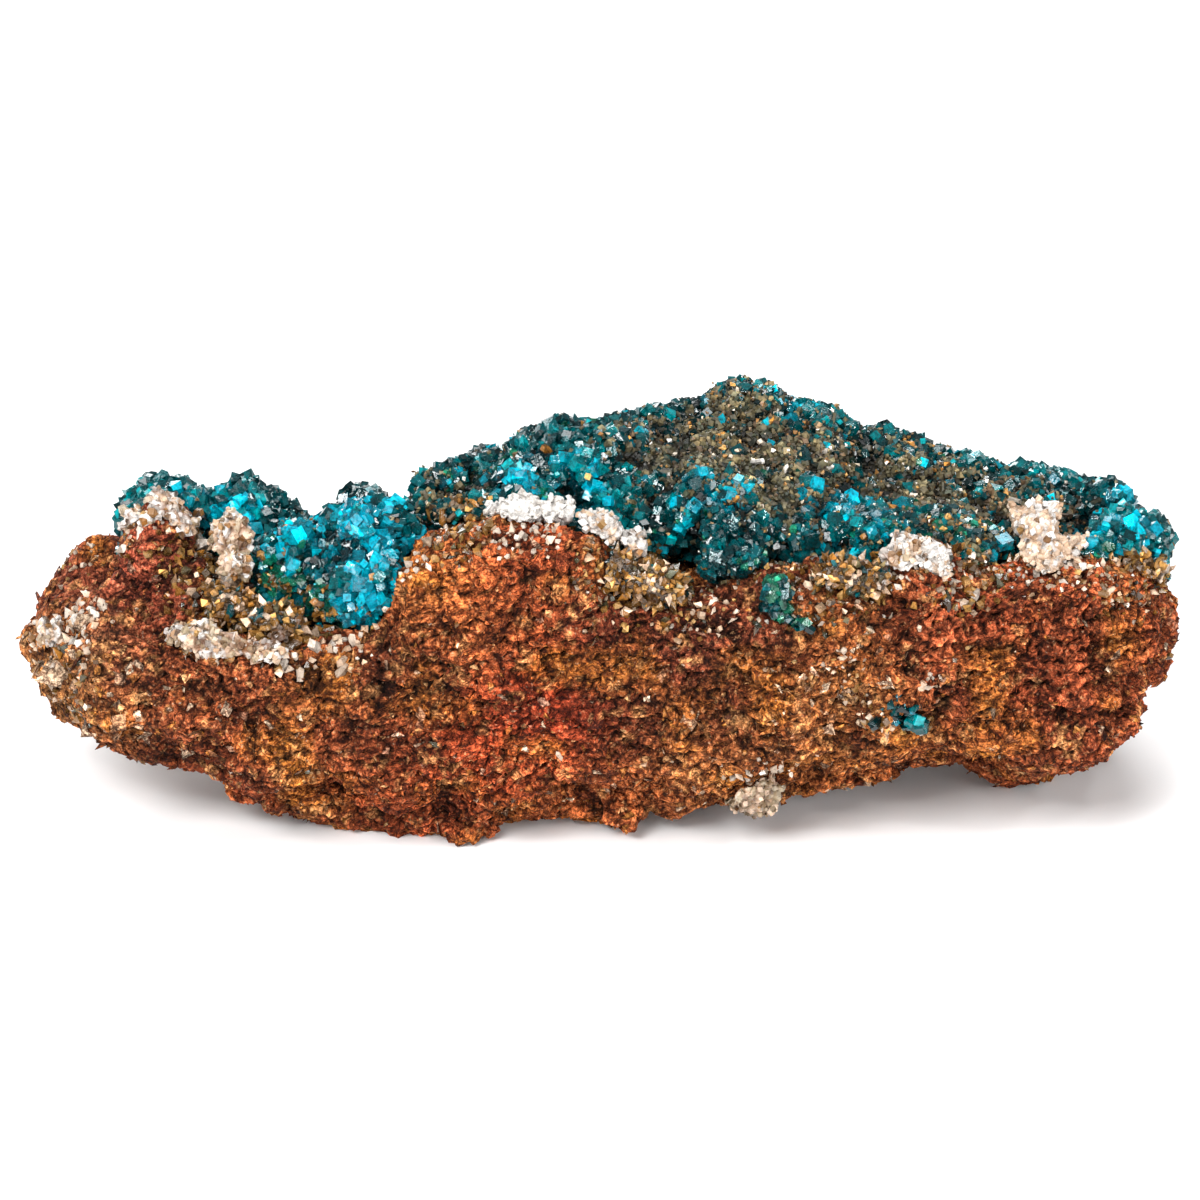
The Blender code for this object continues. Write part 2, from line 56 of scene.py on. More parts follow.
# Rock colours by zone: x, y, z, radius, weight, then red, green, blue from 0 to 255.
ROCK_ZONES = (
    (-64.5, -15.5, 22, 7, 1.4, (190, 140, 88)),
    (-57, -23, 18, 8, 1.2, (122, 76, 46)),
    (-58.6, -21, 26, 4, 0.8, (196, 142, 108)),
    (-56, -14, 30.5, 7, 1.6, (152, 78, 62)),
    (-62, 0.5, 28, 7, 1, (150, 82, 64)),
    (-49, -15, 30, 6, 1.4, (140, 74, 58)),
    (-43.4, -25.2, 20, 9, 1, (162, 94, 60)),
    (-31, -26, 17, 9, 1, (118, 64, 42)),
    (-42, -24, 11, 8, 0.8, (146, 66, 40)),
    (-19, -26.5, 25, 5.5, 1.6, (110, 60, 38)),
    (-15, -27, 32, 7, 1.6, (204, 124, 72)),
    (-8.8, -27.4, 36, 6, 1.5, (170, 84, 52)),
    (-8, -28, 20, 7, 1.5, (172, 68, 44)),
    (-11, -26, 13, 6, 1.2, (190, 92, 56)),
    (4.9, -26.1, 26, 8, 1.5, (102, 50, 36)),
    (14, -26.3, 28, 8, 1.6, (108, 58, 42)),
    (17, -26.7, 22, 8, 1.2, (106, 56, 38)),
    (30, -26, 27, 5.5, 1.2, (188, 116, 68)),
    (29, -26, 20, 6, 1.3, (204, 142, 84)),
    (33, -23, 12, 7, 1.1, (176, 110, 60)),
    (38, -25.8, 27.8, 6, 1.2, (160, 84, 56)),
    (48, -23, 28, 9, 1.5, (166, 88, 58)),
    (58, -20, 26.5, 8, 1.3, (160, 86, 54)),
    (50, -23.5, 18, 9, 1.1, (134, 66, 44)),
    (64.7, -14.5, 20, 7, 1.3, (150, 80, 50)),
    (47, -20, 8, 8, 0.9, (166, 100, 60)),
    (60, -10, 12, 8, 0.9, (150, 76, 48)),
    (0.3, -20, 7, 8, 1.1, (184, 108, 64)),
    (14, -24, 10, 8, 1, (172, 114, 68)),
    (-23, -24, 8, 8, 1, (170, 84, 50)),
    (-34, -26, 9, 8, 0.9, (146, 90, 54)),
    (0, 26, 20, 26, 0.35, (150, 86, 56)),
    (-40, 20, 14, 22, 0.35, (162, 98, 60)),
    (45, 22, 16, 22, 0.35, (146, 76, 50)),
)
# The rock's colour away from all zones, and how strongly it holds there.
ROCK_COLOUR = (150, 86, 56)
ROCK_HOLD = 0.12
# What the rock's red, green and blue are scaled by.
ROCK_TONE = (1.03, 0.90, 0.76)
# Grains that differ from the rock round them.
LIGHT_GRAINS = (208, 160, 108)
OCHRE_GRAINS = (188, 124, 56)
DARK_GRAINS = (92, 42, 26)
PALE_GRAINS = (214, 190, 162)
# Flakes of each of them: from and to which share, colour, how strong at most.
FLAKE_COLOURS = (
    (0.00, 0.05, PALE_GRAINS, 1.0),
    (0.05, 0.19, LIGHT_GRAINS, 0.9),
    (0.19, 0.38, OCHRE_GRAINS, 0.8),
    (0.38, 0.62, DARK_GRAINS, 0.9),
)
# Rust on the calcite.
RUST = (120, 76, 40)
# A swelling that closes the gap beside the pocket: x, y, z, radius, height.
SWELLING = (-47.0, -12.0, 31.0, 2.6, 2.4)
# Width and seed of the chunks that the rock breaks into, and of the grains in them.
CHUNKS = (3.4, 11)
GRAINS = (1.5, 23)
# Width of the grid that each skin is made anew on.
ROCK_VOXEL = 0.36
DRUSE_VOXEL = 0.75
CALCITE_VOXEL = 0.3
QUARTZ_VOXEL = 0.5
ROCK_TRIANGLES = 190000
# How many places are tried, before the crowded and the buried ones go.
FLAKE_TRIES = 32000
GRIT_TRIES = 17000
CALCITE_TRIES = 5000
QUARTZ_TRIES = 7000
STREWN_TRIES = 120000
# How many flakes stay at most.
MOST_FLAKES = 19000
# Least distance between crystals, on the dioptase times their grade of size.
DRUSE_SPACING = 0.66
CALCITE_SPACING = 0.72
QUARTZ_SPACING = 0.5
STREWN_SPACING = 0.68
# Flakes and loose crystals keep this far above the floor.
LOWEST = 0.8
# How much the faces of one crystal differ in brightness as painted reflections from inside it, in general
# and on calcite.
FACET_PAINTED_LIGHT = 0.32
PALE_PAINTED_LIGHT = 0.12

# What grows where. For each kind: x, y, z, radius, weight.
DRUSE_ZONES = {
    "teal": (
        (-52, 0, 38, 6, 3), (-41, 0, 38, 4.5, 2.5), (-3.2, -8, 43.6, 5.5, 4), (1.8, -9.5, 41.6, 3, 2.6),
        (7, -14, 38.6, 4, 3.4), (25.6, 3, 45.4, 3.4, 4.6), (32, -13, 37.6, 4.4, 4),
        (40.5, -12.6, 38, 4, 2), (47, 4, 38.4, 5, 3), (55, 3, 37, 4, 2.6), (62, -10, 35.6, 5, 4),
        (0, 22, 36, 16, 0.5), (37, -26.2, 18.2, 3.6, 16),
    ),
    "deep": (
        (-56.5, -2, 33, 3.6, 4), (-48.5, -1, 39, 3, 2), (-37.2, -1, 36, 3.4, 5),
        (-31.6, -14.5, 32.6, 2.2, 5), (-27.8, -7, 39.4, 3.6, 5), (-23, -8.5, 37.4, 3, 2),
        (-15.1, 1, 41, 3.6, 2), (-3.2, -1, 46.5, 4, 4), (13, -19.5, 37.4, 5, 6), (19.5, -20, 35.6, 4.5, 5),
        (8, 6, 45.8, 3.4, 3), (36, 5, 42.4, 3.4, 3), (43, -13.6, 37, 3.4, 1.6), (59.4, 0, 38, 2.6, 3),
        (-40, 16, 28, 14, 0.5), (21, -25.5, 31, 4, 12),
    ),
    "bright": (
        (-43.4, -3.5, 36.6, 2.8, 5), (-35, -11, 35.4, 2.6, 3.4), (-27.2, -14.5, 36.2, 4.2, 7),
        (-26.2, -20.4, 29.4, 3.4, 5), (-8.6, -10.4, 42.4, 3.2, 2.6), (-1, -11, 41.8, 3.2, 2.4),
        (11.3, -13, 41, 2.4, 3), (15.4, -13.4, 40.8, 2.2, 3.2), (24.6, 5, 46.4, 2.2, 3),
        (29.6, -11.6, 39, 3.4, 4.6), (62, -3, 37, 2.2, 3.4), (61, -12.4, 36.4, 3, 3),
    ),
    "green": (
        (-36.4, -13.6, 33, 3.4, 2.6), (-30.6, -17.6, 29.6, 2.6, 1.8), (-15.5, -5, 39.6, 4.5, 1.2),
        (-1, -3, 46, 3, 1.2), (38.5, -14.3, 37.6, 4, 2.2), (58, -13, 34.4, 2.4, 1.8), (21, -25, 33, 4, 10),
        (10, -14, 40, 2.4, 2), (-6, -13.6, 40.6, 3, 1.6), (8, -19, 37.6, 3, 2.6),
    ),
    "ochre": (
        (-36.2, -15.6, 30.8, 2.6, 1.6), (-30, -18.6, 28.4, 3, 1.8), (42, -16, 36, 3.6, 2),
        (5, -21.5, 35, 4.5, 4), (29, -21, 35.4, 4.5, 3), (62, -15, 32.6, 4, 2.6),
        (-15.6, -12.4, 38.4, 2.6, 1.2), (-2, -15.6, 40.6, 2.6, 0.8), (9, -20.4, 36, 2.4, 1.6),
    ),
    "drab": (
        (-19.5, -4, 38, 4.5, 2), (6, -1, 44, 5, 2.4), (12, -4.4, 43, 6, 4), (20, -6, 43.4, 6, 5),
        (28, -4, 41.6, 6, 4), (18.4, -14.6, 40.4, 3, 5), (38, -3, 39.4, 7, 4), (15, 4, 47.4, 4.4, 4),
        (40, 20, 32, 16, 0.5), (8, -3, 44.6, 6, 3), (16, -1, 45, 7, 3.6), (26, -5, 42, 7, 5),
        (36, -5, 40, 6, 4), (45, -2, 39, 6, 3), (52, -3, 38.6, 5, 4), (22, -12, 41.2, 4, 4),
        (12.6, -11.6, 41, 2.6, 2), (-17.6, -6, 38.4, 3.6, 2.4), (42, -15.6, 36.6, 3.6, 4),
    ),
    "brown": (
        (22, -1, 44.4, 4, 1.6), (44, -4, 38.8, 5, 2), (53, -6.5, 38.4, 4.6, 7), (-16.6, -10, 38.4, 3, 1.4),
    ),
}
KINDS = ("bright", "teal", "deep", "green", "drab", "brown", "ochre", "white")
SMALL_KINDS = (3, 4, 5, 6, 7)
# Everywhere a little of each, in the order of the kinds.
KIND_FLOOR = (0.06, 0.32, 0.24, 0.05, 0.10, 0.05, 0.012, 0.03)
# Half the width of each kind's crystals.
KIND_SIZES = (0.86, 0.76, 0.68, 0.56, 0.38, 0.38, 0.40, 0.32)
# Crystals come in three grades of size, and so many of each.
GRADES = (0.62, 0.9, 1.2)
GRADE_SHARES = (0.5, 0.36, 0.14)
# How pale the fused mass below each kind is: it is darkened as painted shade between the crystals.
KIND_BASE_SHADES = (0.6, 0.45, 0.35, 0.35, 0.35, 0.35, 0.35, 0.5)
# For each kind, colours that its crystals vary between.
KIND_COLOURS = {
    "bright": ((0, 144, 166), (0, 192, 212), (0, 96, 112)),
    "teal": ((0, 88, 92), (0, 130, 134), (0, 46, 50)),
    "deep": ((0, 58, 62), (0, 92, 98), (0, 28, 31)),
    "green": ((0, 86, 68), (36, 132, 98), (0, 52, 38)),
    "drab": ((72, 66, 46), (104, 90, 62), (36, 42, 32)),
    "brown": ((88, 68, 46), (122, 98, 70), (52, 38, 26)),
    "ochre": ((132, 86, 32), (190, 148, 86), (60, 36, 14)),
    "white": ((216, 208, 198), (236, 232, 226), (184, 168, 146)),
    "snow": ((210, 206, 202), (230, 227, 223), (188, 179, 169)),
    "cream": ((206, 178, 152), (222, 202, 182), (170, 134, 102)),
    "gray": ((160, 142, 114), (186, 172, 148), (120, 98, 70)),
    "frost": ((196, 180, 164), (220, 212, 202), (168, 136, 104)),
}
# Kinds by share: of grains on the crust, crystals on the quartz, and ochre ones strewn on the rock.
GRIT_SHARES = {"drab": 0.42, "brown": 0.26, "ochre": 0.16, "white": 0.07, "deep": 0.09}
QUARTZ_SHARES = {"ochre": 0.66, "cream": 0.18, "drab": 0.10, "deep": 0.06}
OCHRE_SHARES = {"ochre": 0.62, "cream": 0.16, "drab": 0.14, "frost": 0.08}
# Loose crystals on bare rock, and everywhere a little of each.
STREWN_KINDS = ("none", "white", "cream", "ochre", "teal")
STREWN_FLOOR = (1.0, 0.0, 0.0004, 0.001, 0.0)
# Where they are. For each kind: x, y, z, radius, weight.
STREWN_ZONES = {
    "white": (
        (-64.5, -14.2, 26.6, 3.6, 2.2), (-60.6, -17, 26.8, 3.2, 2), (-52, -11, 38, 2.4, 0.8),
        (-45.5, -24.3, 27.4, 3, 0.8), (-36, -23.6, 26.4, 3.2, 0.6), (-29, -24, 26, 3, 0.3),
        (-20.6, -22.8, 36.2, 2, 2), (-10.4, -25, 40.4, 2.2, 3), (-6.6, -25, 40.4, 2.2, 3),
        (33.5, -23, 36.6, 3.4, 0.6), (41.6, -22, 32.8, 2, 1.6), (51.4, -18, 36, 3.8, 2.2),
        (38.4, -26.6, 22.8, 1.4, 1), (18.8, -25.4, 9.8, 3.4, 1),
    ),
    "cream": (
        (-63.3, 1, 28.6, 4, 0.3), (12, -25.4, 32.4, 3.6, 0.8), (25.4, -24.6, 34.4, 3, 0.6),
        (59.1, -18.8, 33.8, 3.2, 1.6), (55, -19, 34.6, 3, 1.8), (28, -27, 25.4, 1.8, 1.4),
        (29.6, -26.6, 22.4, 2, 1.6), (32.6, -27, 18.6, 2.2, 1.4), (-64, -16.4, 22, 4.4, 0.18),
        (-67, -8, 24, 3.6, 0.5),
    ),
    "ochre": (
        (-54.6, -13.4, 34.6, 1.6, 1), (-47.2, -11, 32, 4.4, 4), (-46.6, -12, 31.6, 2.6, 9),
        (-45.6, -16.5, 32, 4.4, 2.2), (-36, -20, 27.6, 5, 2.4), (-16.4, -22.6, 39.4, 3.6, 8),
        (3.7, -24.8, 35.4, 5, 2.4), (10.5, -24.6, 33.4, 4, 2), (26, -24, 35.4, 4.4, 2.2),
        (41, -21, 35.6, 4.6, 5), (44.8, -18, 33.8, 3.6, 5), (25.4, -24.3, 34.6, 4.2, 5),
        (61, -17, 33.6, 4.4, 2.2), (-61.6, -19, 20, 5, 0.5),
    ),
    "teal": (
        (33.6, -27.7, 19.5, 1.5, 12), (35, -27.5, 18.8, 1.3, 12),
    ),
}
# Where the rock is of coarse pale grains: x, y, z, radius, how much.
TAN_ZONES = (
    (-65, -14, 22, 6, 1), (-58, -20, 20, 8, 0.5), (-50, -24, 14, 7, 0.5), (-62, 4, 20, 8, 0.5),
    (28, -26, 21, 6, 0.7), (12, -24, 8, 7, 0.3),
)
# Where the loose crystals are larger: x, y, z, radius, how much larger.
COARSE_ZONES = (
    (-46.9, -7, 30, 6, 1.2), (-36, -20, 28, 9, 0.9), (4, -24, 35, 6, 0.5), (-16.4, -22.6, 39.4, 3.6, 0.7),
    (34.2, -27.6, 19.2, 2.4, 0.9), (-64, -16, 22, 5, 0.4), (28, -23, 35, 5, 0.5), (41, -21, 35, 5, 0.4),
    (-61, -15, 27, 6, 0.3),
)
# Larger single white crystals on the crust: x, y, z, length.
WHITE_CRYSTALS = (
    (19.5, -2.5, 43.9, 3), (18.7, -7.6, 43.3, 2.6), (21.9, -9, 42.6, 2.4), (27.1, -4.7, 41.5, 2.2),
    (49.6, -4, 38.4, 2.8), (50.4, -7.6, 38.6, 2.4), (51, -10.6, 39, 2.4),
)
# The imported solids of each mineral.
QUARTZES = tuple("quartz_" + name for name in ("pocket", "centre", "right", "end"))
DIOPTASES = tuple(
    "dioptase_" + name for name in ("crust", "left_knobs", "pocket", "right_knob", "vein", "vug")
)
CALCITE_KINDS = ("snow", "cream", "gray", "ochre")
# Each calcite: shares of the first three kinds, the width of its swellings, and how rusty it is.
CALCITE_LOOKS = {
    "calcite_spur": ((0.5, 0.4, 0.1), 1.5, 0.7),
    "calcite_ridge": ((0.25, 0.5, 0.25), 1.4, 1.0),
    "calcite_pocket": ((0.35, 0.4, 0.25), 1.4, 1.1),
    "calcite_nose": ((0.6, 0.3, 0.1), 1.5, 0.6),
    "calcite_boss": ((1.0, 0.0, 0.0), 1.4, 0.0),
    "calcite_shoulder": ((0.8, 0.2, 0.0), 1.3, 0.3),
    "calcite_centre": ((0.6, 0.35, 0.05), 1.6, 0.6),
    "calcite_right": ((0.35, 0.65, 0.0), 1.7, 0.3),
    "calcite_foot": ((0.0, 0.4, 0.6), 1.5, 0.6),
}

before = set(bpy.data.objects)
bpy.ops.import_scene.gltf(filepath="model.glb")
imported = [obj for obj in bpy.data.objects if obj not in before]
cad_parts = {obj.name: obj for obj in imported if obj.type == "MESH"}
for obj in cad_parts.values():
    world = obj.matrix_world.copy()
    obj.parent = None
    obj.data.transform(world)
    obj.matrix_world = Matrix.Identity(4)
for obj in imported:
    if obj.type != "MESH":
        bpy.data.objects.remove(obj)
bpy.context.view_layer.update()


def hashed(cell, seed):
    """Evenly spread numbers from 0 to 1, one for each whole-number cell."""
    h = (cell[..., 0] * 73856093) ^ (cell[..., 1] * 19349663) ^ (cell[..., 2] * 83492791)
    h = (h ^ (seed * 26544357 + 97)) & 0xFFFFFFFF
    h = ((h ^ (h >> 15)) * 2246822519) & 0xFFFFFFFF
    h = ((h ^ (h >> 13)) * 3266489917) & 0xFFFFFFFF
    return ((h ^ (h >> 16)) & 0xFFFFFF) / float(0x1000000)


def noise(points, size, seed):
    """Smooth noise from -1 to 1 whose features are about the given size."""
    at = points / size
    cell = np.floor(at).astype(np.int64)
    part = at - cell
    part = part * part * (3.0 - 2.0 * part)
    total = np.zeros(len(points))
    for corner in np.ndindex(2, 2, 2):
        weight = np.ones(len(points))
        for axis in range(3):
            weight *= part[:, axis] if corner[axis] else 1.0 - part[:, axis]
        total += weight * hashed(cell + np.array(corner), seed)
    return 2.0 * total - 1.0


def cells(points, size, seed):
    """Scattered seeds: distances to the nearest two, and the nearest's own number and tilt."""
    at = points / size
    cell = np.floor(at).astype(np.int64)
    nearest = np.full(len(points), 9.0)
    second = np.full(len(points), 9.0)
    own = np.zeros(len(points))
    tilt = np.zeros(len(points))
    for step in np.ndindex(3, 3, 3):
        other = cell + np.array(step) - 1
        seat = other + np.stack([hashed(other, seed + k) for k in range(3)], axis=1)
        gap = np.linalg.norm(at - seat, axis=1)
        closer = gap < nearest
        second = np.where(closer, nearest, np.minimum(second, gap))
        lean = np.stack([hashed(other, seed + k) for k in range(5, 8)], axis=1) - 0.5
        own = np.where(closer, hashed(other, seed + 3), own)
        tilt = np.where(closer, ((at - seat) * lean).sum(axis=1), tilt)
        nearest = np.minimum(nearest, gap)
    return nearest, second, own, 2.0 * tilt


def seam(nearest, second, width):
    """1 where two seeds are equally near, and 0 away from there."""
    return np.exp(-(((second - nearest) / width) ** 2))


def wander(points, size, seed):
    """A smooth shift for each point, from -1 to 1 in each direction."""
    return np.stack([noise(points, size, seed + k) for k in range(3)], axis=1)


def nearness(points, centre, radius, power=1.0):
    """From 1 at a centre to 0 well outside the radius. A higher power ends it more sharply."""
    far = ((points - centre) ** 2).sum(axis=1) / radius**2
    return np.exp(-(far**power))


def linear(colour):
    """A colour from 0 to 255, as light."""
    c = np.asarray(colour, float) / 255.0
    return np.where(c <= 0.04045, c / 12.92, ((c + 0.055) / 1.055) ** 2.4)


def placed(name, data):
    """A new object in the scene."""
    obj = bpy.data.objects.new(name, data)
    bpy.context.scene.collection.objects.link(obj)
    return obj


def evaluated(mesh, kind, **values):
    """Points and faces of a mesh after one step over its form."""
    obj = placed("skin", mesh)
    step = obj.modifiers.new("skin", kind)
    for name, value in values.items():
        setattr(step, name, value)
    graph = bpy.context.evaluated_depsgraph_get()
    fine = bpy.data.meshes.new_from_object(obj.evaluated_get(graph))
    bpy.data.objects.remove(obj)
    bpy.data.meshes.remove(mesh)
    points = np.zeros(len(fine.vertices) * 3)
    fine.vertices.foreach_get("co", points)
    fine.calc_loop_triangles()
    faces = np.zeros(len(fine.loop_triangles) * 3, np.int64)
    fine.loop_triangles.foreach_get("vertices", faces)
    bpy.data.meshes.remove(fine)
    return points.reshape(-1, 3), faces.reshape(-1, 3)


def remeshed(name, voxel, rounds):
    """Points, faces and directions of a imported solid's skin, made even and rounded off."""
    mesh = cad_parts[name].data.copy()
    mesh.transform(Matrix.Scale(METRE, 4))
    points, faces = evaluated(mesh, "REMESH", mode="VOXEL", voxel_size=voxel)
    points = smoothed(points, faces, rounds)
    return points, faces, normals_of(points, faces)


def thinned(points, faces, count):
    """The same skin with fewer faces, kept where it is most broken."""
    mesh = bpy.data.meshes.new("skin")
    mesh.from_pydata(points.tolist(), [], faces.tolist())
    return evaluated(mesh, "DECIMATE", ratio=count / len(faces))


def summed(count, index, values):
    """For each point, the sum of the values that are listed for it."""
    return np.stack([np.bincount(index, values[:, k], count) for k in range(3)], axis=1)


def smoothed(points, faces, rounds):
    """Relaxes the skin, so that the solid's facets round off."""
    one = faces.ravel()
    other = np.roll(faces, -1, axis=1).ravel()
    degree = np.bincount(one, minlength=len(points))[:, None]
    for _ in range(rounds):
        points = 0.5 * points + 0.5 * summed(len(points), one, points[other]) / degree
    return points


def uneven(middle, spread, count, rng):
    """Random sizes or shades round a middle one."""
    return np.exp(rng.normal(math.log(middle), spread, count))


def crossed(points, faces):
    """For each triangle, its direction times twice its area."""
    a, b, c = (points[faces[:, k]] for k in range(3))
    return np.cross(b - a, c - a)


def normals_of(points, faces):
    across = crossed(points, faces)
    total = sum(summed(len(points), faces[:, k], across) for k in range(3))
    return total / np.maximum(np.linalg.norm(total, axis=1, keepdims=True), 1e-9)


def bulge(points, faces, facing, rounds):
    """How far the skin stands out of its own smoother form at each point."""
    return ((points - smoothed(points, faces, rounds)) * facing).sum(axis=1)


def lifted(points, faces, facing, lift, rounds):
    """The skin moved along its directions: its points, directions and bulge then."""
    points = points + facing * lift[:, None]
    facing = normals_of(points, faces)
    return points, facing, bulge(points, faces, facing, rounds)


def blended(points, zones, base, floor):
    """A colour for each point from the zones that reach it."""
    total = np.tile(linear(base) * floor, (len(points), 1))
    weights = np.full(len(points), floor)
    for x, y, z, radius, weight, colour in zones:
        share = weight * nearness(points, (x, y, z), radius)
        total += share[:, None] * linear(colour)
        weights += share
    return total / weights[:, None]


def mixed(one, other, share):
    """Between colours, or from each colour towards one other."""
    share = np.clip(share, 0.0, 1.0)[:, None]
    return one * (1.0 - share) + other * share


def surface_tree(points, faces):
    return BVHTree.FromPolygons(points.tolist(), faces.tolist())


def solid_tree(*names):
    """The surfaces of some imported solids, to measure from."""
    points, faces = [], []
    for name in names:
        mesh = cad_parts[name].data
        start = len(points)
        points.extend(tuple(METRE * v.co) for v in mesh.vertices)
        faces.extend(tuple(start + v for v in face.vertices) for face in mesh.polygons)
    return BVHTree.FromPolygons(points, faces)


def scattered(points, faces, normals, count, rng, carried=None):
    """Random places on a skin, evenly by area, with the skin's direction there and a carried value."""
    area = np.linalg.norm(crossed(points, faces), axis=1)
    pick = rng.choice(len(faces), count, p=area / area.sum())
    u, v = rng.random(count), rng.random(count)
    over = u + v > 1.0
    u[over], v[over] = 1.0 - u[over], 1.0 - v[over]
    weights = np.stack([1.0 - u - v, u, v], axis=1)[:, :, None]
    where = (points[faces[pick]] * weights).sum(axis=1)
    facing = (normals[faces[pick]] * weights).sum(axis=1)
    facing = facing / np.linalg.norm(facing, axis=1, keepdims=True)
    if carried is None:
        return where, facing
    return where, facing, (carried[faces[pick]] * weights[:, :, 0]).sum(axis=1)


def spaced(places, apart):
    """Which places stay when none may be nearer to an earlier one than that one's distance."""
    tree = KDTree(len(places))
    for n, place in enumerate(places):
        tree.insert(place, n)
    tree.balance()
    stays = np.ones(len(places), bool)
    apart = np.broadcast_to(apart, len(places))
    for n, place in enumerate(places):
        if stays[n]:
            for _, m, _ in tree.find_range(place, apart[n]):
                if m > n:
                    stays[m] = False
    return stays


def distances(places, tree, most):
    """How far each place is from the surface, but never more than the most."""
    found = np.full(len(places), most)
    for n, place in enumerate(places):
        _, _, _, distance = tree.find_nearest(Vector(place), most)
        if distance is not None:
            found[n] = distance
    return found


def is_open(places, facing, trees, reach, within=2.0):
    """Whether each place still has free room at that height above it."""
    free = np.ones(len(places), bool)
    for n, tip in enumerate(places + facing * reach):
        for tree in trees:
            near, normal, _, _ = tree.find_nearest(Vector(tip), within)
            if near is not None and (Vector(tip) - near).dot(normal) < 0.0:
                free[n] = False
                break
    return free


def turned(corners, places, facing, tilt, rng):
    """Solids stood up along their directions, with some tilt, each at its own place."""
    count = len(facing)
    along = facing + tilt * rng.normal(size=(count, 3))
    along /= np.linalg.norm(along, axis=1, keepdims=True)
    across = np.cross(along, rng.normal(size=(count, 3)))
    across /= np.linalg.norm(across, axis=1, keepdims=True)
    axes = np.stack([across, np.cross(along, across), along], axis=1)
    return np.einsum("nkj,nji->nki", corners, axes) + places[:, None, :]


PRISM_TIP = 12
PRISM_FACES = (
    tuple((k, (k + 1) % 6, 6 + (k + 1) % 6, 6 + k) for k in range(6))
    + tuple((PRISM_TIP, 6 + 2 * k, 7 + 2 * k, 6 + (2 * k + 2) % 6) for k in range(3))
)


def prisms(places, facing, radius, height, sink, tilt, rng):
    """Six-sided crystals, each with a three-faced point."""
    count = len(places)
    steep = rng.uniform(1.0, 2.0, count) * radius
    corners = np.zeros((count, PRISM_TIP + 1, 3))
    for k in range(6):
        turn = math.radians(60 * k)
        ring = radius * rng.uniform(0.88, 1.1, count)
        corners[:, k, 0] = corners[:, 6 + k, 0] = ring * math.cos(turn)
        corners[:, k, 1] = corners[:, 6 + k, 1] = ring * math.sin(turn)
        corners[:, k, 2] = -sink
        corners[:, 6 + k, 2] = height - steep * (0.5 if k % 2 == 0 else 1.0)
    corners[:, :6, :2] *= 0.8
    corners[:, PRISM_TIP, 2] = height
    return turned(corners, places, facing, tilt, rng)


RHOMB_FACES = ((0, 1, 3, 2), (4, 6, 7, 5), (0, 4, 5, 1), (2, 3, 7, 6), (0, 2, 6, 4), (1, 5, 7, 3))


def rhombs(places, facing, size, tilt, rng):
    """Leaning blocks with six flat faces."""
    count = len(places)
    lean = math.radians(60)
    edges = np.zeros((count, 3, 3))
    for k in range(3):
        turn = math.radians(120 * k)
        long = size * rng.uniform(0.75, 1.3, count)
        edges[:, k, 0] = long * math.sin(lean) * math.cos(turn)
        edges[:, k, 1] = long * math.sin(lean) * math.sin(turn)
        edges[:, k, 2] = long * math.cos(lean)
    corners = np.zeros((count, 8, 3))
    for n, signs in enumerate(np.ndindex(2, 2, 2)):
        corners[:, n] = sum((0.5 if signs[k] else -0.5) * edges[:, k] for k in range(3))
    return turned(corners, places, facing, tilt, rng)


CHIP_FACES = ((0, 2, 4), (2, 1, 4), (1, 3, 4), (3, 0, 4), (2, 0, 5), (1, 2, 5), (3, 1, 5), (0, 3, 5))


def chips(places, facing, size, rng, flat=1.0, tilt=0.6):
    """Small angular grains, or flakes where they are flat."""
    count = len(places)
    corners = np.zeros((count, 6, 3))
    for k, sign in enumerate((1, -1, 1, -1, 1, -1)):
        corners[:, k] = rng.normal(size=(count, 3)) * 0.22
        corners[:, k, k // 2] += sign * rng.uniform(0.6, 1.25, count)
    corners[:, :, 2] *= flat
    corners *= size[:, None, None]
    return turned(corners, places, facing, tilt, rng)


def shards(places, facing, radius, length, sink, tilt, rng):
    """Sharp slivers, each a point above and a point below four uneven corners."""
    count = len(places)
    corners = rng.normal(size=(count, 6, 3)) * 0.16 * radius[:, None, None]
    middle = length * rng.uniform(0.15, 0.5, count)
    for k, sign in enumerate((1, -1, 1, -1)):
        corners[:, k, k // 2] += sign * radius * rng.uniform(0.7, 1.2, count)
        corners[:, k, 2] += middle
    corners[:, 4, 2] += length
    corners[:, 5, 2] -= sink
    return turned(corners, places, facing, tilt, rng)


def finished(name, mesh, tints, finish, slot, *nodes):
    """A piece of the object from a mesh in millimetres, with a colour for each point or each face."""
    mesh.transform(Matrix.Scale(MM, 4))
    domain = "POINT" if len(tints) == len(mesh.vertices) else "FACE"
    layer = mesh.attributes.new("tint", "FLOAT_COLOR", domain)
    colours = np.ones((len(tints), 4))
    colours[:, :3] = tints
    layer.data.foreach_set("color", colours.astype(np.float32).ravel())
    mesh.materials.append(finish)
    obj = placed(name, mesh)
    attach(obj, "root")
    if nodes:
        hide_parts(*nodes)


def skin(name, points, faces, tints, finish, slot, *nodes, rounded=False):
    """A piece of the object from points and faces in millimetres."""
    mesh = bpy.data.meshes.new(name)
    mesh.from_pydata(points.tolist(), [], faces.tolist())
    mesh.polygons.foreach_set("use_smooth", np.full(len(faces), rounded))
    finished(name, mesh, tints, finish, slot, *nodes)


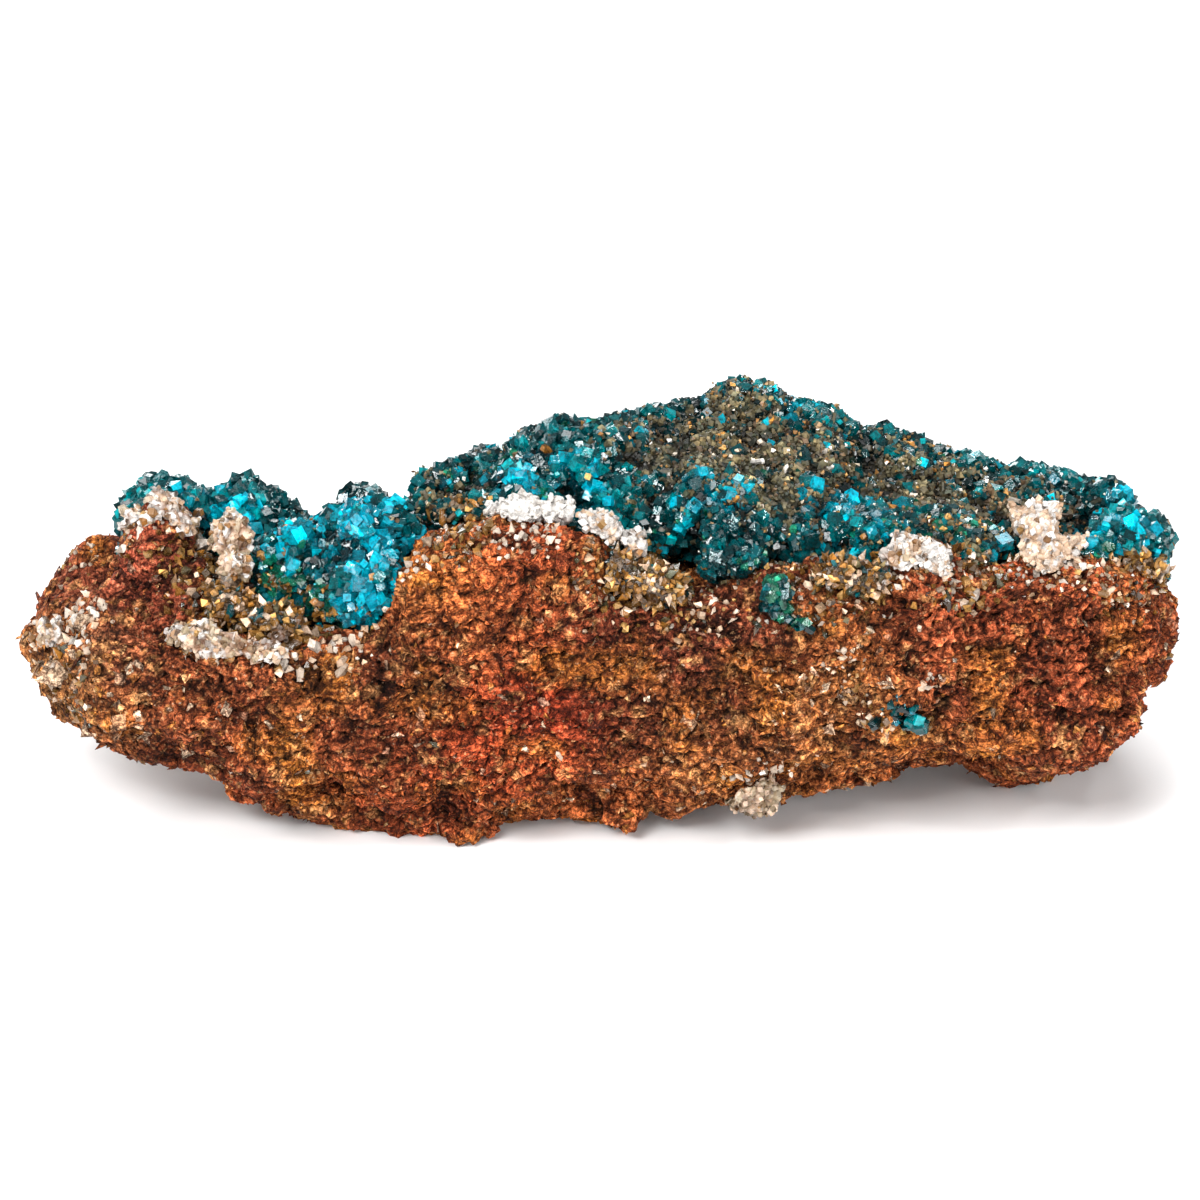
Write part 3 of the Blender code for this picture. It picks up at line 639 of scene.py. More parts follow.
def joined(name, groups, finish, slot, painted_light=FACET_PAINTED_LIGHT):
    """Many small solids as one mesh. Each group is corners, faces of one solid, and a colour each."""
    rng = np.random.default_rng(len(name))
    points, faces, tints = [], [], []
    start = 0
    for corners, shape, colours in groups:
        count, size, _ = corners.shape
        first = start + size * np.arange(count)[:, None]
        for face in shape:
            # Painted shade: the sides of a six-sided crystal are darker than the faces of its tip. Each face
            # also gets a random painted reflection, lighter or darker.
            is_side = shape is PRISM_FACES and PRISM_TIP not in face
            shade = (1.0 - 1.3 * painted_light if is_side else 1.0) * uneven(1.0, painted_light, count, rng)
            faces.extend((first + np.array(face)).tolist())
            tints.append(colours * shade[:, None])
        points.append(corners.reshape(-1, 3))
        start += count * size
    mesh = bpy.data.meshes.new(name)
    mesh.from_pydata(np.concatenate(points).tolist(), [], faces)
    finished(name, mesh, np.concatenate(tints), finish, slot)


def set_values(made, **values):
    """Sets inputs of a shader node, or else its properties, by name."""
    for name, value in values.items():
        key = name.replace("_", " ")
        if key in made.inputs:
            made.inputs[key].default_value = value
        else:
            setattr(made, name, value)


def node(tree, kind, **values):
    """A new shader node, with some of its inputs or properties set."""
    made = tree.nodes.new("ShaderNode" + kind)
    set_values(made, **values)
    return made


def mix(tree, blend, share, one, other):
    """Mixes two colours. Each may be an output or a colour."""
    made = node(tree, "Mix", data_type="RGBA", blend_type=blend)
    for socket, value in ((made.inputs[0], share), (made.inputs[6], one), (made.inputs[7], other)):
        if isinstance(value, bpy.types.NodeSocket):
            tree.links.new(value, socket)
        else:
            socket.default_value = value
    return made.outputs[2]


def ramped(tree, value, low, high, from_low=0.0, from_high=1.0):
    """From low to high while the value goes between its own two ends."""
    made = node(tree, "MapRange")
    tree.links.new(value, made.inputs[0])
    for index, number in ((1, from_low), (2, from_high), (3, low), (4, high)):
        made.inputs[index].default_value = number
    return made.outputs[0]


def new_material(name):
    """A material, its tree and shader, the place on the object, and the colour carried by the mesh."""
    made = bpy.data.materials.new(name)
    made.use_nodes = True
    tree = made.node_tree
    shader = tree.nodes["Principled BSDF"]
    place = node(tree, "TexCoord").outputs["Object"]
    tint = node(tree, "Attribute", attribute_name="tint").outputs["Color"]
    return made, tree, shader, place, tint


def texture(tree, kind, place, output, **values):
    """One output of a texture laid out by place."""
    made = node(tree, kind, **values)
    tree.links.new(place, made.inputs["Vector"])
    return made.outputs[output]


def clouded(tree, place, **values):
    return texture(tree, "TexNoise", place, "Fac", **values)


def shaded(tree, colour, value, *ends):
    """A colour that a value darkens and brightens."""
    return mix(tree, "MULTIPLY", 1.0, colour, ramped(tree, value, *ends))


def wired(tree, shader, colour, roughness, height, strength, distance=0.0002):
    """Gives the shader its colour, its roughness and its relief."""
    tree.links.new(colour, shader.inputs["Base Color"])
    tree.links.new(roughness, shader.inputs["Roughness"])
    bump = node(tree, "Bump", Strength=strength, Distance=distance)
    tree.links.new(height, bump.inputs["Height"])
    tree.links.new(bump.outputs["Normal"], shader.inputs["Normal"])


def creased(tree, place, scale, detail, distortion):
    """Zero along wandering crease lines, and more between them."""
    cloud = clouded(tree, place, Scale=scale, Detail=detail, Distortion=distortion)
    centred = node(tree, "Math", operation="SUBTRACT")
    tree.links.new(cloud, centred.inputs[0])
    centred.inputs[1].default_value = 0.5
    folded = node(tree, "Math", operation="ABSOLUTE")
    tree.links.new(centred.outputs[0], folded.inputs[0])
    return folded.outputs[0]


def rock_material(name):
    """Rusty, gritty, dull stone of ragged flakes, with painted shade in its cracks."""
    made, tree, shader, place, tint = new_material(name)
    cloud = clouded(tree, place, Scale=260.0, Detail=8.0, Roughness=0.78)
    crack = creased(tree, place, 520.0, 5.0, 1.1)
    fine_crack = creased(tree, place, 1300.0, 3.0, 0.8)
    fleck = clouded(tree, place, Scale=1700.0, Detail=3.0, Roughness=0.6)
    speck = texture(tree, "TexVoronoi", place, "Distance", Scale=1300.0)
    shade = shaded(tree, tint, cloud, 0.3, 1.75, 0.36, 0.64)
    shade = shaded(tree, shade, fleck, 0.4, 1.6, 0.38, 0.62)
    pale = mix(tree, "MIX", ramped(tree, fleck, 0.0, 0.8, 0.58, 0.66), shade, (0.58, 0.33, 0.16, 1.0))
    light = mix(tree, "MIX", ramped(tree, speck, 0.7, 0.0, 0.10, 0.2), pale, (0.56, 0.38, 0.24, 1.0))
    light = mix(tree, "MIX", ramped(tree, cloud, 0.0, 1.0, 0.40, 0.58), shade, light)
    # Painted shade in the cracks: the wide ones darker, the fine ones less.
    wide = ramped(tree, crack, 1.0, 0.0, 0.0, 0.07)
    crack_shade = mix(tree, "MULTIPLY", wide, light, (0.17, 0.10, 0.08, 1.0))
    narrow = ramped(tree, fine_crack, 0.9, 0.0, 0.0, 0.065)
    crack_shade = mix(tree, "MULTIPLY", narrow, crack_shade, (0.26, 0.16, 0.12, 1.0))
    set_values(shader, Specular_IOR_Level=0.12)
    rough = mix(tree, "ADD", 1.0, ramped(tree, crack, 0.0, 1.0, 0.0, 0.2), ramped(tree, fleck, 0.0, 0.7))
    rough = mix(tree, "ADD", 1.0, rough, ramped(tree, fine_crack, 0.0, 0.5, 0.0, 0.16))
    wired(tree, shader, crack_shade, ramped(tree, fleck, 0.55, 0.95), rough, 1.0, 0.0004)
    return made


def dioptase_material(name, clear, roughness, gloss):
    """Glassy blue-green crystal, with clouds and steps inside."""
    made, tree, shader, place, tint = new_material(name)
    cloud = clouded(tree, place, Scale=1500.0, Detail=4.0, Roughness=0.7)
    step = clouded(tree, place, Scale=1300.0, Detail=3.0, Distortion=1.0)
    shade = shaded(tree, tint, cloud, 0.35, 1.9, 0.32, 0.68)
    dull = ramped(tree, cloud, roughness, roughness * 2.0, 0.35, 0.75)
    set_values(shader, Transmission_Weight=clear, IOR=1.67, Specular_IOR_Level=gloss)
    wired(tree, shader, shade, dull, step, 0.35)
    return made


def calcite_material(name):
    """White to cream crystal, a little see-through."""
    made, tree, shader, place, tint = new_material(name)
    cloud = clouded(tree, place, Scale=700.0, Detail=6.0, Roughness=0.7)
    fine = clouded(tree, place, Scale=1800.0, Detail=4.0, Distortion=0.6)
    shade = shaded(tree, tint, fine, 0.78, 1.18, 0.35, 0.6)
    stain = mix(tree, "MIX", ramped(tree, cloud, 0.0, 0.25, 0.60, 0.8), shade, (0.46, 0.30, 0.18, 1.0))
    set_values(shader, Transmission_Weight=0.15, IOR=1.6)
    wired(tree, shader, stain, ramped(tree, fine, 0.2, 0.5, 0.3, 0.7), fine, 0.7)
    return made


def quartz_material(name):
    """Amber to brown crystal, iron-stained."""
    made, tree, shader, place, tint = new_material(name)
    cloud = clouded(tree, place, Scale=900.0, Detail=5.0, Roughness=0.7)
    step = clouded(tree, place, Scale=1500.0, Detail=3.0, Distortion=1.0)
    shade = shaded(tree, tint, cloud, 0.4, 1.7, 0.34, 0.66)
    set_values(shader, Transmission_Weight=0.3, IOR=1.55)
    wired(tree, shader, shade, ramped(tree, cloud, 0.08, 0.4, 0.35, 0.7), step, 0.5)
    return made


def kind_weights(places, zones, kinds, floor, power=1.0):
    """How strongly each kind is drawn to each place. A higher power ends the zones more sharply."""
    weights = np.tile(np.array(floor, float), (len(places), 1))
    for kind, spots in zones.items():
        for x, y, z, radius, weight in spots:
            weights[:, kinds.index(kind)] += weight * nearness(places, (x, y, z), radius, power)
    return weights


def drawn_from(weights, rng):
    """A kind for each place, by chance and weight."""
    shares = (weights / weights.sum(axis=1, keepdims=True)).cumsum(axis=1)
    return np.minimum((shares < rng.random(len(weights))[:, None]).sum(axis=1), len(weights[0]) - 1)


def kind_of(places, rng):
    return drawn_from(kind_weights(places, DRUSE_ZONES, KINDS, KIND_FLOOR), rng)


def coloured(kinds, names, rng):
    """Each crystal's colour, between those of its kind."""
    table = np.array([[linear(colour) for colour in KIND_COLOURS[name]] for name in names])
    own = table[kinds]
    middle = mixed(own[:, 0], own[:, 1], rng.random(len(kinds)) ** 2)
    return mixed(middle, own[:, 2], rng.random(len(kinds)) ** 2)


def by_share(shares, count, rng):
    """Colours for so many crystals, of kinds drawn by their shares."""
    drawn = rng.choice(len(shares), count, p=tuple(shares.values()))
    return coloured(drawn, tuple(shares), rng)


def ledge(points, pitch):
    """How far out the broken layers stand, from -1 to 1."""
    level = points[:, 2] + 5.0 * noise(points, 16.0, 5) + 1.2 * noise(points, 5.0, 6)
    height = (level / pitch) % 1.0
    flat = np.stack([points[:, 0] / 9.0, points[:, 1] / 9.0, np.floor(level / pitch)], axis=1)
    return (1.0 - 2.0 * height) * np.clip(0.2 + 1.6 * noise(flat, 1.0, 7), 0.0, 1.0)


def crest(points, size, seed):
    """Ridges with sharp tops, from -1 to 1."""
    return 1.0 - 4.0 * np.abs(0.5 * noise(points, size, seed))


def pitted(points):
    """Above 0 only in small scattered pits."""
    return np.clip(noise(points, 3.6, 8) - 0.5, 0.0, 1.0)


def rock_colours(points, chunk, grain):
    """The rock's colour at each point, uneven by patch, by chunk and by grain."""
    base = blended(points, ROCK_ZONES, ROCK_COLOUR, ROCK_HOLD)
    base = base * (1.0 + 0.25 * noise(points, 4.0, 31) + 0.3 * (chunk - 0.5))[:, None]
    base = base * (1.03 + 0.4 * noise(points, 1.3, 35))[:, None]
    patch = noise(points, 5.0, 33)
    base = mixed(base, linear(OCHRE_GRAINS), 1.2 * (patch - 0.12))
    base = mixed(base, linear(DARK_GRAINS), 1.1 * (-patch - 0.2))
    base = mixed(base, linear(LIGHT_GRAINS), np.where(grain > 0.88, 0.6, 0.0))
    base = mixed(base, linear(DARK_GRAINS), np.where(grain < 0.16, 0.6, 0.0))
    return base * ROCK_TONE


def make_rock(finish, druses):
    """A fine broken skin over the rock, with ledges, cracks and pits."""
    points, faces, facing = remeshed("matrix", ROCK_VOXEL, 14)
    flat = points * (1.0, 1.0, 1.5) + 0.5 * wander(points, 2.4, 41)
    near, second, own, tilt = cells(flat, *CHUNKS)
    fine_near, fine_second, fine_own, fine_tilt = cells(flat, *GRAINS)
    lift = 0.45 * noise(points, 6.0, 1) + 0.25 * crest(flat, 2.8, 2) + 0.2 * crest(flat, 1.3, 3)
    lift += 0.3 * (own - 0.5) + 0.6 * tilt - 0.35 * seam(near, second, 0.08)
    lift += 0.3 * (fine_own - 0.5) + 0.6 * fine_tilt
    lift -= 0.3 * seam(fine_near, fine_second, 0.12)
    lift += 0.2 * crest(flat, 0.75, 4)
    # The ledges stand out further towards the right.
    shelf = 0.4 + 0.35 * np.clip((points[:, 0] - 15.0) / 20.0, 0.0, 1.0)
    lift += shelf * ledge(points, 3.0) * (1.0 - np.abs(facing[:, 2]))
    lift -= 3.0 * pitted(points)
    # Beside the crystals the rock keeps low, so that it doesn't bury them.
    away = np.clip(distances(points, druses, 2.0) / 1.2, 0.0, 1.0)
    lift = np.where(lift > 0.0, 0.8 * lift * away, lift) - 0.2 * (1.0 - away)
    x, y, z, radius, height = SWELLING
    lift += height * nearness(points, (x, y, z), radius)
    # Worn smoother towards the left end.
    lift *= 1.0 - 0.4 * np.clip((-50.0 - points[:, 0]) / 8.0, 0.0, 1.0)
    points = points + facing * lift[:, None]
    points[:, 2] = np.maximum(points[:, 2], 0.0)
    points, faces = thinned(points, faces, ROCK_TRIANGLES)
    points[:, 2] = np.maximum(points[:, 2], 0.0)
    facing = normals_of(points, faces)
    high = bulge(points, faces, facing, 6)
    tints = rock_colours(points, cells(points, *CHUNKS)[2], cells(points, *GRAINS)[2])
    # Painted shade in the hollows and painted light on the bumps.
    tints *= np.clip(0.95 + 2.8 * high, 0.16, 1.8)[:, None]
    # Painted shade in the pits.
    tints *= (1.0 - 0.6 * np.clip(pitted(points) * 5.0, 0.0, 1.0))[:, None]
    skin("rock", points, faces, tints, finish, "iron_rock", "matrix")
    return points, faces


def make_grains(rock, masses, finish):
    """Thin angular flakes all over the rock."""
    rng = np.random.default_rng(5)
    points, faces = rock
    facing = normals_of(points, faces)
    where, out = scattered(points, faces, facing, FLAKE_TRIES, rng)
    free = is_open(where, out, [masses], 0.2, 0.8) & (where[:, 2] > LOWEST)
    where, out = where[free][:MOST_FLAKES], out[free][:MOST_FLAKES]
    size = np.clip(uneven(0.42, 0.35, len(where), rng), 0.18, 0.75)
    tints = rock_colours(where, rng.random(len(where)), np.full(len(where), 0.5))
    tan = np.zeros(len(where))
    for x, y, z, radius, more in TAN_ZONES:
        tan += more * nearness(where, (x, y, z), radius)
    size *= 1.0 + 1.1 * np.clip(tan, 0.0, 1.0)
    drawn = rng.random(len(where)) ** (1.0 + 1.8 * tan)
    for low, high, colour, most in FLAKE_COLOURS:
        chosen = (drawn >= low) & (drawn < high)
        tints[chosen] = mixed(tints[chosen], linear(colour), most * rng.random(chosen.sum()))
    size = np.where(drawn < 0.03, 1.4 * size, size)
    corners = chips(where - 0.06 * out, out, size, rng, 0.3, 0.36)
    corners[:, :, 2] = np.maximum(corners[:, :, 2], 0.0)
    joined("rock_grains", [(corners, CHIP_FACES, tints)], finish, "iron_rock")


def is_free(where, out, barriers):
    """Whether each place is clear of the rock, and of the other minerals close by."""
    return is_open(where, out, barriers[:1], 0.4) & is_open(where, out, barriers[1:], 0.4, 0.8)


def make_druse(cad, barriers, finishes, seed):
    """A mass of crystals: a fused base, and single crystals all over it."""
    rng = np.random.default_rng(seed)
    points, faces, facing = remeshed(cad, DRUSE_VOXEL, 3)
    near, second, _, _ = cells(points, 5.0, seed + 2)
    lift = 0.05 + 0.3 * noise(points, 2.6, seed) + 0.25 * noise(points, 1.3, seed + 1)
    lift += (0.45 - near) - 0.9 * seam(near, second, 0.16)
    points, facing, high = lifted(points, faces, facing, lift, 25)
    below = kind_of(points, rng)
    # The fused mass is darkened by kind as painted shade between the crystals.
    tints = coloured(below, KINDS, rng) * np.array(KIND_BASE_SHADES)[below][:, None]
    # Painted shade in its hollows and painted light on its humps.
    tints *= np.clip(1.0 + 1.5 * high, 0.15, 1.5)[:, None]
    skin(cad + "_base", points, faces, tints, finishes["base"], "dioptase", cad)
    area = 0.5 * np.linalg.norm(crossed(points, faces), axis=1).sum()
    count = int(5.0 * area / DRUSE_SPACING**2)
    where, out, high_there = scattered(points, faces, facing, count, rng, high)
    kinds = kind_of(where, rng)
    grade = rng.choice(GRADES, len(where), p=GRADE_SHARES)
    room = np.where(np.isin(kinds, SMALL_KINDS), 0.64, 1.0) * DRUSE_SPACING * grade
    # The larger ones mostly come first.
    order = np.argsort(rng.random(len(where)) - 0.4 * grade, kind="stable")
    order = order[spaced(where[order], room[order])]
    order = order[is_free(where[order], out[order], barriers)]
    found = [values[order] for values in (where, out, high_there, kinds, grade)]
    grow_crystals(cad, *found, finishes, rng)
    if cad == "dioptase_crust":
        make_grit(cad, points, faces, facing, high, barriers, finishes["dusty"], rng)


def grow_crystals(name, where, out, high, kinds, grade, finishes, rng):
    """Single crystals of all kinds at their places, as one piece for each finish."""
    names = np.array(KINDS)[kinds]
    tints = coloured(kinds, KINDS, rng)
    # Painted shade on crystals in the hollows and painted light on those on the humps, times a random tone.
    tints *= (np.clip(0.95 + 1.9 * high, 0.1, 1.9) * uneven(1.0, 0.2, len(where), rng))[:, None]
    radius = np.array(KIND_SIZES)[kinds] * grade * uneven(1.0, 0.15, len(where), rng)
    height = radius * rng.uniform(0.8, 1.5, len(where)) + 0.25 * (1.0 - grade)
    for group, members, finish, slot, long, tilt in (
        ("clear", ("bright", "teal", "deep", "green"), "clear", "dioptase", 1.0, 0.5),
        ("dusty", ("drab", "brown"), "dusty", "dioptase", 1.2, 0.6),
        ("ochre", ("ochre",), "quartz", "stained_quartz", 2.0, 0.8),
        ("white", ("white",), "calcite", "calcite", 1.6, 0.7),
    ):
        chosen = np.isin(names, members)
        small = chosen & (grade < 0.7) & (group != "clear")
        large = chosen & ~small
        if not chosen.any():
            continue
        groups = []
        if small.any():
            if group == "dusty":
                grains = chips(where[small] + 0.2 * out[small], out[small], 1.3 * radius[small], rng)
            else:
                length = 3.0 * radius[small]
                grains = shards(where[small], out[small], 1.2 * radius[small], length, 0.4, 0.8, rng)
            groups.append((grains, CHIP_FACES, tints[small]))
        if large.any():
            corners = prisms(where[large], out[large], radius[large], long * height[large], 0.9, tilt, rng)
            groups.append((corners, PRISM_FACES, tints[large]))
        joined(name + "_" + group, groups, finishes[finish], slot)


def make_grit(cad, points, faces, facing, high, barriers, finish, rng):
    """Fine dusty grains between the crystals."""
    where, out, high = scattered(points, faces, facing, GRIT_TRIES, rng, high)
    weights = kind_weights(where, DRUSE_ZONES, KINDS, KIND_FLOOR)
    dusty = weights[:, [KINDS.index("drab"), KINDS.index("brown")]].sum(axis=1) / weights.sum(axis=1)
    ochre = weights[:, KINDS.index("ochre")] / weights.sum(axis=1)
    keep = rng.random(len(where)) < 0.08 + 0.75 * dusty + 0.5 * ochre
    where, out, high = where[keep], out[keep], high[keep]
    free = is_free(where, out, barriers)
    where, out, high = where[free], out[free], high[free]
    tints = by_share(GRIT_SHARES, len(where), rng)
    # Painted shade on grains in the hollows and painted light on those on the humps.
    tints *= np.clip(0.95 + 1.2 * high, 0.3, 1.4)[:, None]
    size = uneven(0.26, 0.3, len(where), rng)
    grains = chips(where + out * rng.uniform(0.0, 0.75, len(where))[:, None], out, size, rng)
    joined(cad + "_grit", [(grains, CHIP_FACES, tints)], finish, "dioptase")


def rust_and_painted_shade(points, tints, high, stain, seed):
    """Rust in patches and in the hollows between crystals, and painted shade in the hollows with a little
    painted light on the humps.
    """
    share = stain * np.clip(0.5 + 0.9 * noise(points, 2.4, seed + 40) - 1.5 * high, 0.0, 1.2)
    tints = mixed(tints, linear(RUST), share)
    # Painted shade in the hollows and a little painted light on the humps.
    return tints * np.clip(1.0 + 0.8 * high, 0.5, 1.1)[:, None]


def mixed_shapes(where, out, sizes, tints, slivers, rng):
    """Crystals of which a share are slivers, and the rest are six-sided or leaning blocks."""
    drawn = rng.random(len(where))
    thin = drawn < slivers
    block = drawn > 0.96
    rest = ~thin & ~block
    long = sizes[thin] * rng.uniform(0.8, 1.8, thin.sum())
    length = sizes[rest] * rng.uniform(0.6, 1.4, rest.sum())
    return [
        (shards(where[thin], out[thin], 0.55 * sizes[thin], long, 0.4, 0.8, rng), CHIP_FACES, tints[thin]),
        (rhombs(where[block], out[block], 0.7 * sizes[block], 0.9, rng), RHOMB_FACES, tints[block]),
        (prisms(where[rest], out[rest], 0.5 * sizes[rest], length, 0.4, 0.7, rng), PRISM_FACES, tints[rest]),
    ]


def seats(lump, high, tries, apart, barriers, rng):
    """Places for crystals on a lump, with the direction there and how far each stands out."""
    where, out, high = scattered(*lump, tries, rng, high)
    stays = spaced(where, apart)
    where, out, high = where[stays], out[stays], high[stays]
    free = is_open(where, out, barriers, 0.2)
    return where[free], out[free], high[free]


def make_calcite(cad, looks, barriers, finish, seed):
    """A white lump with a rounded, swelling skin and small single crystals on it."""
    shares, grain, stain = looks
    rng = np.random.default_rng(seed)
    points, faces, facing = remeshed(cad, CALCITE_VOXEL, 8)
    bent = points + 0.4 * wander(points, 1.6, 51)
    near, second, own, tilt = cells(bent, grain, seed)
    gap = seam(near, second, 0.16)
    fine_near, _, _, fine_tilt = cells(bent, 0.8, seed + 7)
    lift = 0.6 * grain * (0.45 - near) + 0.35 * (own - 0.5) + 0.4 * tilt
    lift += 0.35 * (0.45 - fine_near) + 0.2 * fine_tilt
    lift += (0.3 + 0.6 * stain) * (noise(points, 2.8, seed) - 0.4) - 0.2 * gap
    lift -= 0.15 + 0.8 * np.clip(facing[:, 2], 0.0, 1.0)
    points, facing, high = lifted(points, faces, facing, lift, 10)
    drawn = np.minimum(np.searchsorted(np.cumsum(shares), own), 2)
    tints = coloured(drawn, CALCITE_KINDS[:3], rng)
    tints = rust_and_painted_shade(points, tints, high, stain * (0.4 + gap), seed)
    skin(cad + "_base", points, faces, tints, finish, "calcite", cad, rounded=True)
    lump = (points, faces, facing)
    where, out, high = seats(lump, high, CALCITE_TRIES, CALCITE_SPACING, barriers, rng)
    drawn = np.minimum(np.searchsorted(np.cumsum(shares), rng.random(len(where))), 2)
    drawn = np.where(rng.random(len(where)) < 0.15 * stain, 3, drawn)
    tints = rust_and_painted_shade(where, coloured(drawn, CALCITE_KINDS, rng), high, 0.5 * stain, seed)
    radius = 0.38 * uneven(1.0, 0.25, len(where), rng)
    height = radius * rng.uniform(0.4, 1.4, len(where))
    corners = prisms(where, out, radius, height, 0.4, 0.6, rng)
    joined(cad + "_crystals", [(corners, PRISM_FACES, tints)], finish, "calcite", PALE_PAINTED_LIGHT)


def make_quartz(cad, barriers, finish, seed):
    """A thicket of amber crystals at all angles, darkened between them by painted shade as well as by their
    own shadows.
    """
    rng = np.random.default_rng(seed)
    points, faces, facing = remeshed(cad, QUARTZ_VOXEL, 4)
    lift = 0.4 * noise(points, 2.2, seed) - 0.35
    points, facing, high = lifted(points, faces, facing, lift, 8)
    # The base is darkened as painted shade between the crystals.
    tints = coloured(np.zeros(len(points), int), ("ochre",), rng) * 0.3
    skin(cad + "_base", points, faces, tints, finish, "stained_quartz", cad)
    lump = (points, faces, facing)
    where, out, high = seats(lump, high, QUARTZ_TRIES, QUARTZ_SPACING, barriers, rng)
    tints = by_share(QUARTZ_SHARES, len(where), rng)
    # Painted shade on crystals in the hollows and painted light on those on the humps, times a random tone.
    tints *= (np.clip(1.0 + 1.6 * high, 0.25, 1.6) * uneven(1.0, 0.35, len(where), rng))[:, None]
    sizes = np.clip(0.75 * uneven(1.0, 0.3, len(where), rng), 0.4, 1.1)
    groups = mixed_shapes(where, out, sizes, tints, 0.75, rng)
    joined(cad + "_crystals", groups, finish, "stained_quartz")


def make_blades(tree, finish):
    """Long white crystals lying on the crust."""
    rng = np.random.default_rng(91)
    table = np.array(WHITE_CRYSTALS)
    where, length = table[:, :3], table[:, 3]
    feet, out = [], []
    for place in where:
        near, normal, _, _ = tree.find_nearest(Vector(place))
        feet.append(tuple(near))
        out.append(tuple(normal))
    tints = coloured(np.zeros(len(table), int), ("white",), rng)
    corners = prisms(np.array(feet), np.array(out), 0.13 * length, 0.4 * length, 0.8, 1.0, rng)
    joined("white_blades", [(corners, PRISM_FACES, tints)], finish, "calcite")


def make_strewn(rock, druses, masses, finishes):
    """Crystals on the bare rock beside the masses."""
    rng = np.random.default_rng(77)
    points, faces = rock
    facing = normals_of(points, faces)
    where, out = scattered(points, faces, facing, STREWN_TRIES, rng)
    weights = kind_weights(where, STREWN_ZONES, STREWN_KINDS, STREWN_FLOOR, 2.0)
    patch = 0.5 + 0.5 * noise(where, 4.0, 61)
    near = np.exp(-(distances(where, druses, 3.0) ** 2)) * (out[:, 2] > -0.3)
    weights[:, STREWN_KINDS.index("ochre")] += 1.6 * near * patch
    weights[:, STREWN_KINDS.index("white")] += 0.02 * near * (1.0 - patch)
    drawn = drawn_from(weights, rng)
    keep = (drawn > 0) & (where[:, 2] > LOWEST)
    where, out, drawn = where[keep], out[keep], drawn[keep]
    stays = spaced(where, STREWN_SPACING)
    where, out, drawn = where[stays], out[stays], drawn[stays]
    free = is_open(where, out, [masses], 0.1, 0.8)
    where, out, drawn = where[free], out[free], drawn[free]
    where = where - 0.12 * out
    sizes = np.clip(uneven(0.6, 0.3, len(where), rng), 0.3, 1.0)
    for x, y, z, radius, more in COARSE_ZONES:
        sizes *= 1.0 + more * nearness(where, (x, y, z), radius)
    for kind, shares, finish, slot in (
        ("white", {"frost": 0.7, "cream": 0.3}, "calcite", "calcite"),
        ("cream", {"cream": 0.6, "ochre": 0.4}, "calcite", "calcite"),
        ("ochre", OCHRE_SHARES, "quartz", "stained_quartz"),
        ("teal", {"bright": 0.2, "teal": 0.5, "deep": 0.3}, "clear", "dioptase"),
    ):
        chosen = drawn == STREWN_KINDS.index(kind)
        tints = by_share(shares, chosen.sum(), rng)
        tints *= np.exp(rng.normal(-0.1, 0.25, chosen.sum()))[:, None]
        slivers = 0.7 if kind == "ochre" else 0.35
        groups = mixed_shapes(where[chosen], out[chosen], sizes[chosen], tints, slivers, rng)
        painted_light = PALE_PAINTED_LIGHT if finish == "calcite" else FACET_PAINTED_LIGHT
        joined("strewn_" + kind, groups, finishes[finish], slot, painted_light)


def make_stage():
    """A pale floor that turns up into a pale wall far behind."""
    bend, start, steps = 0.8, 1.5, 24
    turns = np.linspace(0.0, 0.5 * math.pi, steps)
    profile = [(-3.0, 0.0)]
    profile += [(start + bend * math.sin(a), bend - bend * math.cos(a)) for a in turns]
    profile += [(start + bend, 4.0)]
    points = [(x, y, z) for y, z in profile for x in (-4.0, 4.0)]
    faces = [(2 * n, 2 * n + 1, 2 * n + 3, 2 * n + 2) for n in range(len(profile) - 1)]
    mesh = bpy.data.meshes.new("floor")
    mesh.from_pydata(points, [], faces)
    mesh.polygons.foreach_set("use_smooth", np.full(len(faces), True))
    made = bpy.data.materials.new("floor")
    made.use_nodes = True
    shader = made.node_tree.nodes["Principled BSDF"]
    set_values(shader, Base_Color=(0.92, 0.92, 0.92, 1.0), Roughness=0.9)
    mesh.materials.append(made)
    floor = placed("floor", mesh)


def aimed(obj, place, target):
    """Stands a light or the camera at a place, looking at a target."""
    obj.location = place
    obj.rotation_mode = "QUATERNION"
    obj.rotation_quaternion = (target - place).to_track_quat("-Z", "Y")


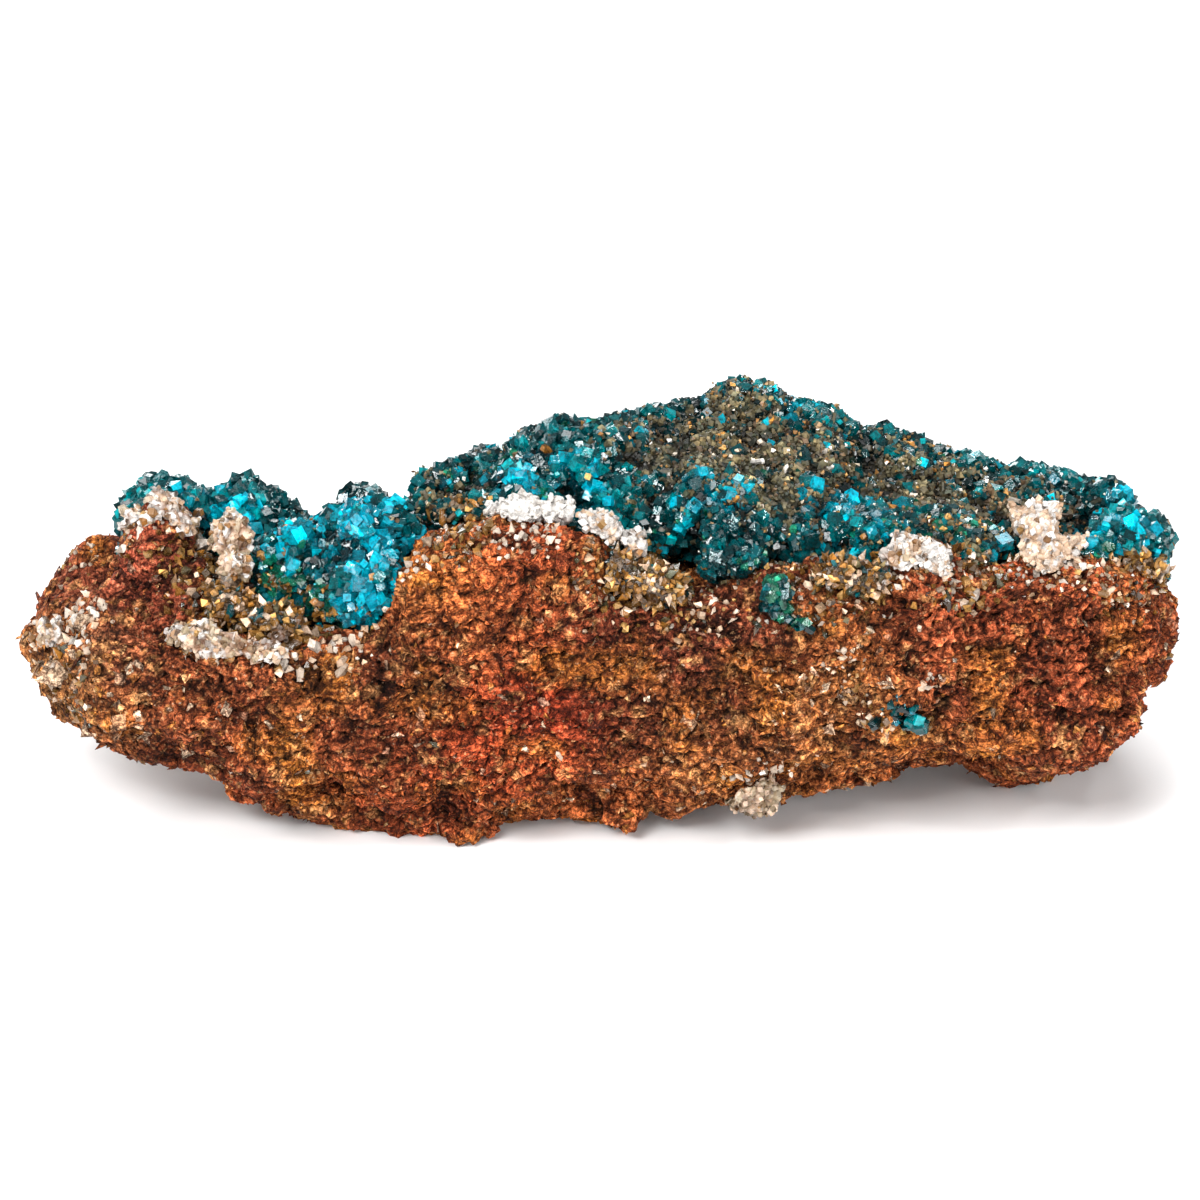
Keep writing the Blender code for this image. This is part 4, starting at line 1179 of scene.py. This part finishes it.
def area_light(name, place, size, power):
    """A round light that shines on the object."""
    data = bpy.data.lights.new(name, "AREA")
    data.shape = "DISK"
    data.size = size
    data.energy = power
    aimed(placed(name, data), Vector(place), Vector(LIGHT_TARGET))


def make_lights():
    for name, place, size, power in LIGHTS:
        area_light(name, place, size, power)
    world = bpy.data.worlds.new("studio")
    world.use_nodes = True
    set_values(world.node_tree.nodes["Background"], Color=(1.0, 1.0, 1.0, 1.0), Strength=0.26)
    bpy.context.scene.world = world
    bpy.context.scene.view_settings.view_transform = "Standard"


def make_camera():
    data = bpy.data.cameras.new("camera")
    data.lens = CAMERA_LENS
    data.sensor_width = 36.0
    data.clip_start = 0.01
    rise = math.radians(CAMERA_ELEVATION)
    away = Vector((0.0, -math.cos(rise), math.sin(rise)))
    camera = placed("camera", data)
    aimed(camera, Vector(CAMERA_TARGET) + away * CAMERA_DISTANCE, Vector(CAMERA_TARGET))
    bpy.context.scene.camera = camera


def main():
    """Lights the stage and dresses each mineral."""
    make_camera()
    make_stage()
    make_lights()
    stone = rock_material("iron_rock_rough")
    finishes = {
        "clear": dioptase_material("dioptase_clear", 0.6, 0.06, 0.22),
        "dusty": dioptase_material("dioptase_dusty", 0.1, 0.35, 0.25),
        "base": dioptase_material("dioptase_base", 0.0, 0.15, 0.25),
        "quartz": quartz_material("stained_quartz_clear"),
        "calcite": calcite_material("calcite_sugary"),
    }
    masses = solid_tree(*DIOPTASES, *QUARTZES, *CALCITE_LOOKS)
    druses = solid_tree(*DIOPTASES, *QUARTZES)
    rock = make_rock(stone, druses)
    rock_tree = surface_tree(*rock)
    make_grains(rock, masses, stone)
    make_strewn(rock, druses, masses, finishes)
    barriers = [rock_tree, solid_tree(*CALCITE_LOOKS, *QUARTZES)]
    make_blades(solid_tree("dioptase_crust"), finishes["calcite"])
    for seed, name in enumerate(DIOPTASES):
        make_druse(name, barriers, finishes, 100 + seed)
    for seed, (name, looks) in enumerate(CALCITE_LOOKS.items()):
        make_calcite(name, looks, [rock_tree], finishes["calcite"], 200 + seed)
    for seed, name in enumerate(QUARTZES):
        make_quartz(name, [rock_tree], finishes["quartz"], 300 + seed)


main()
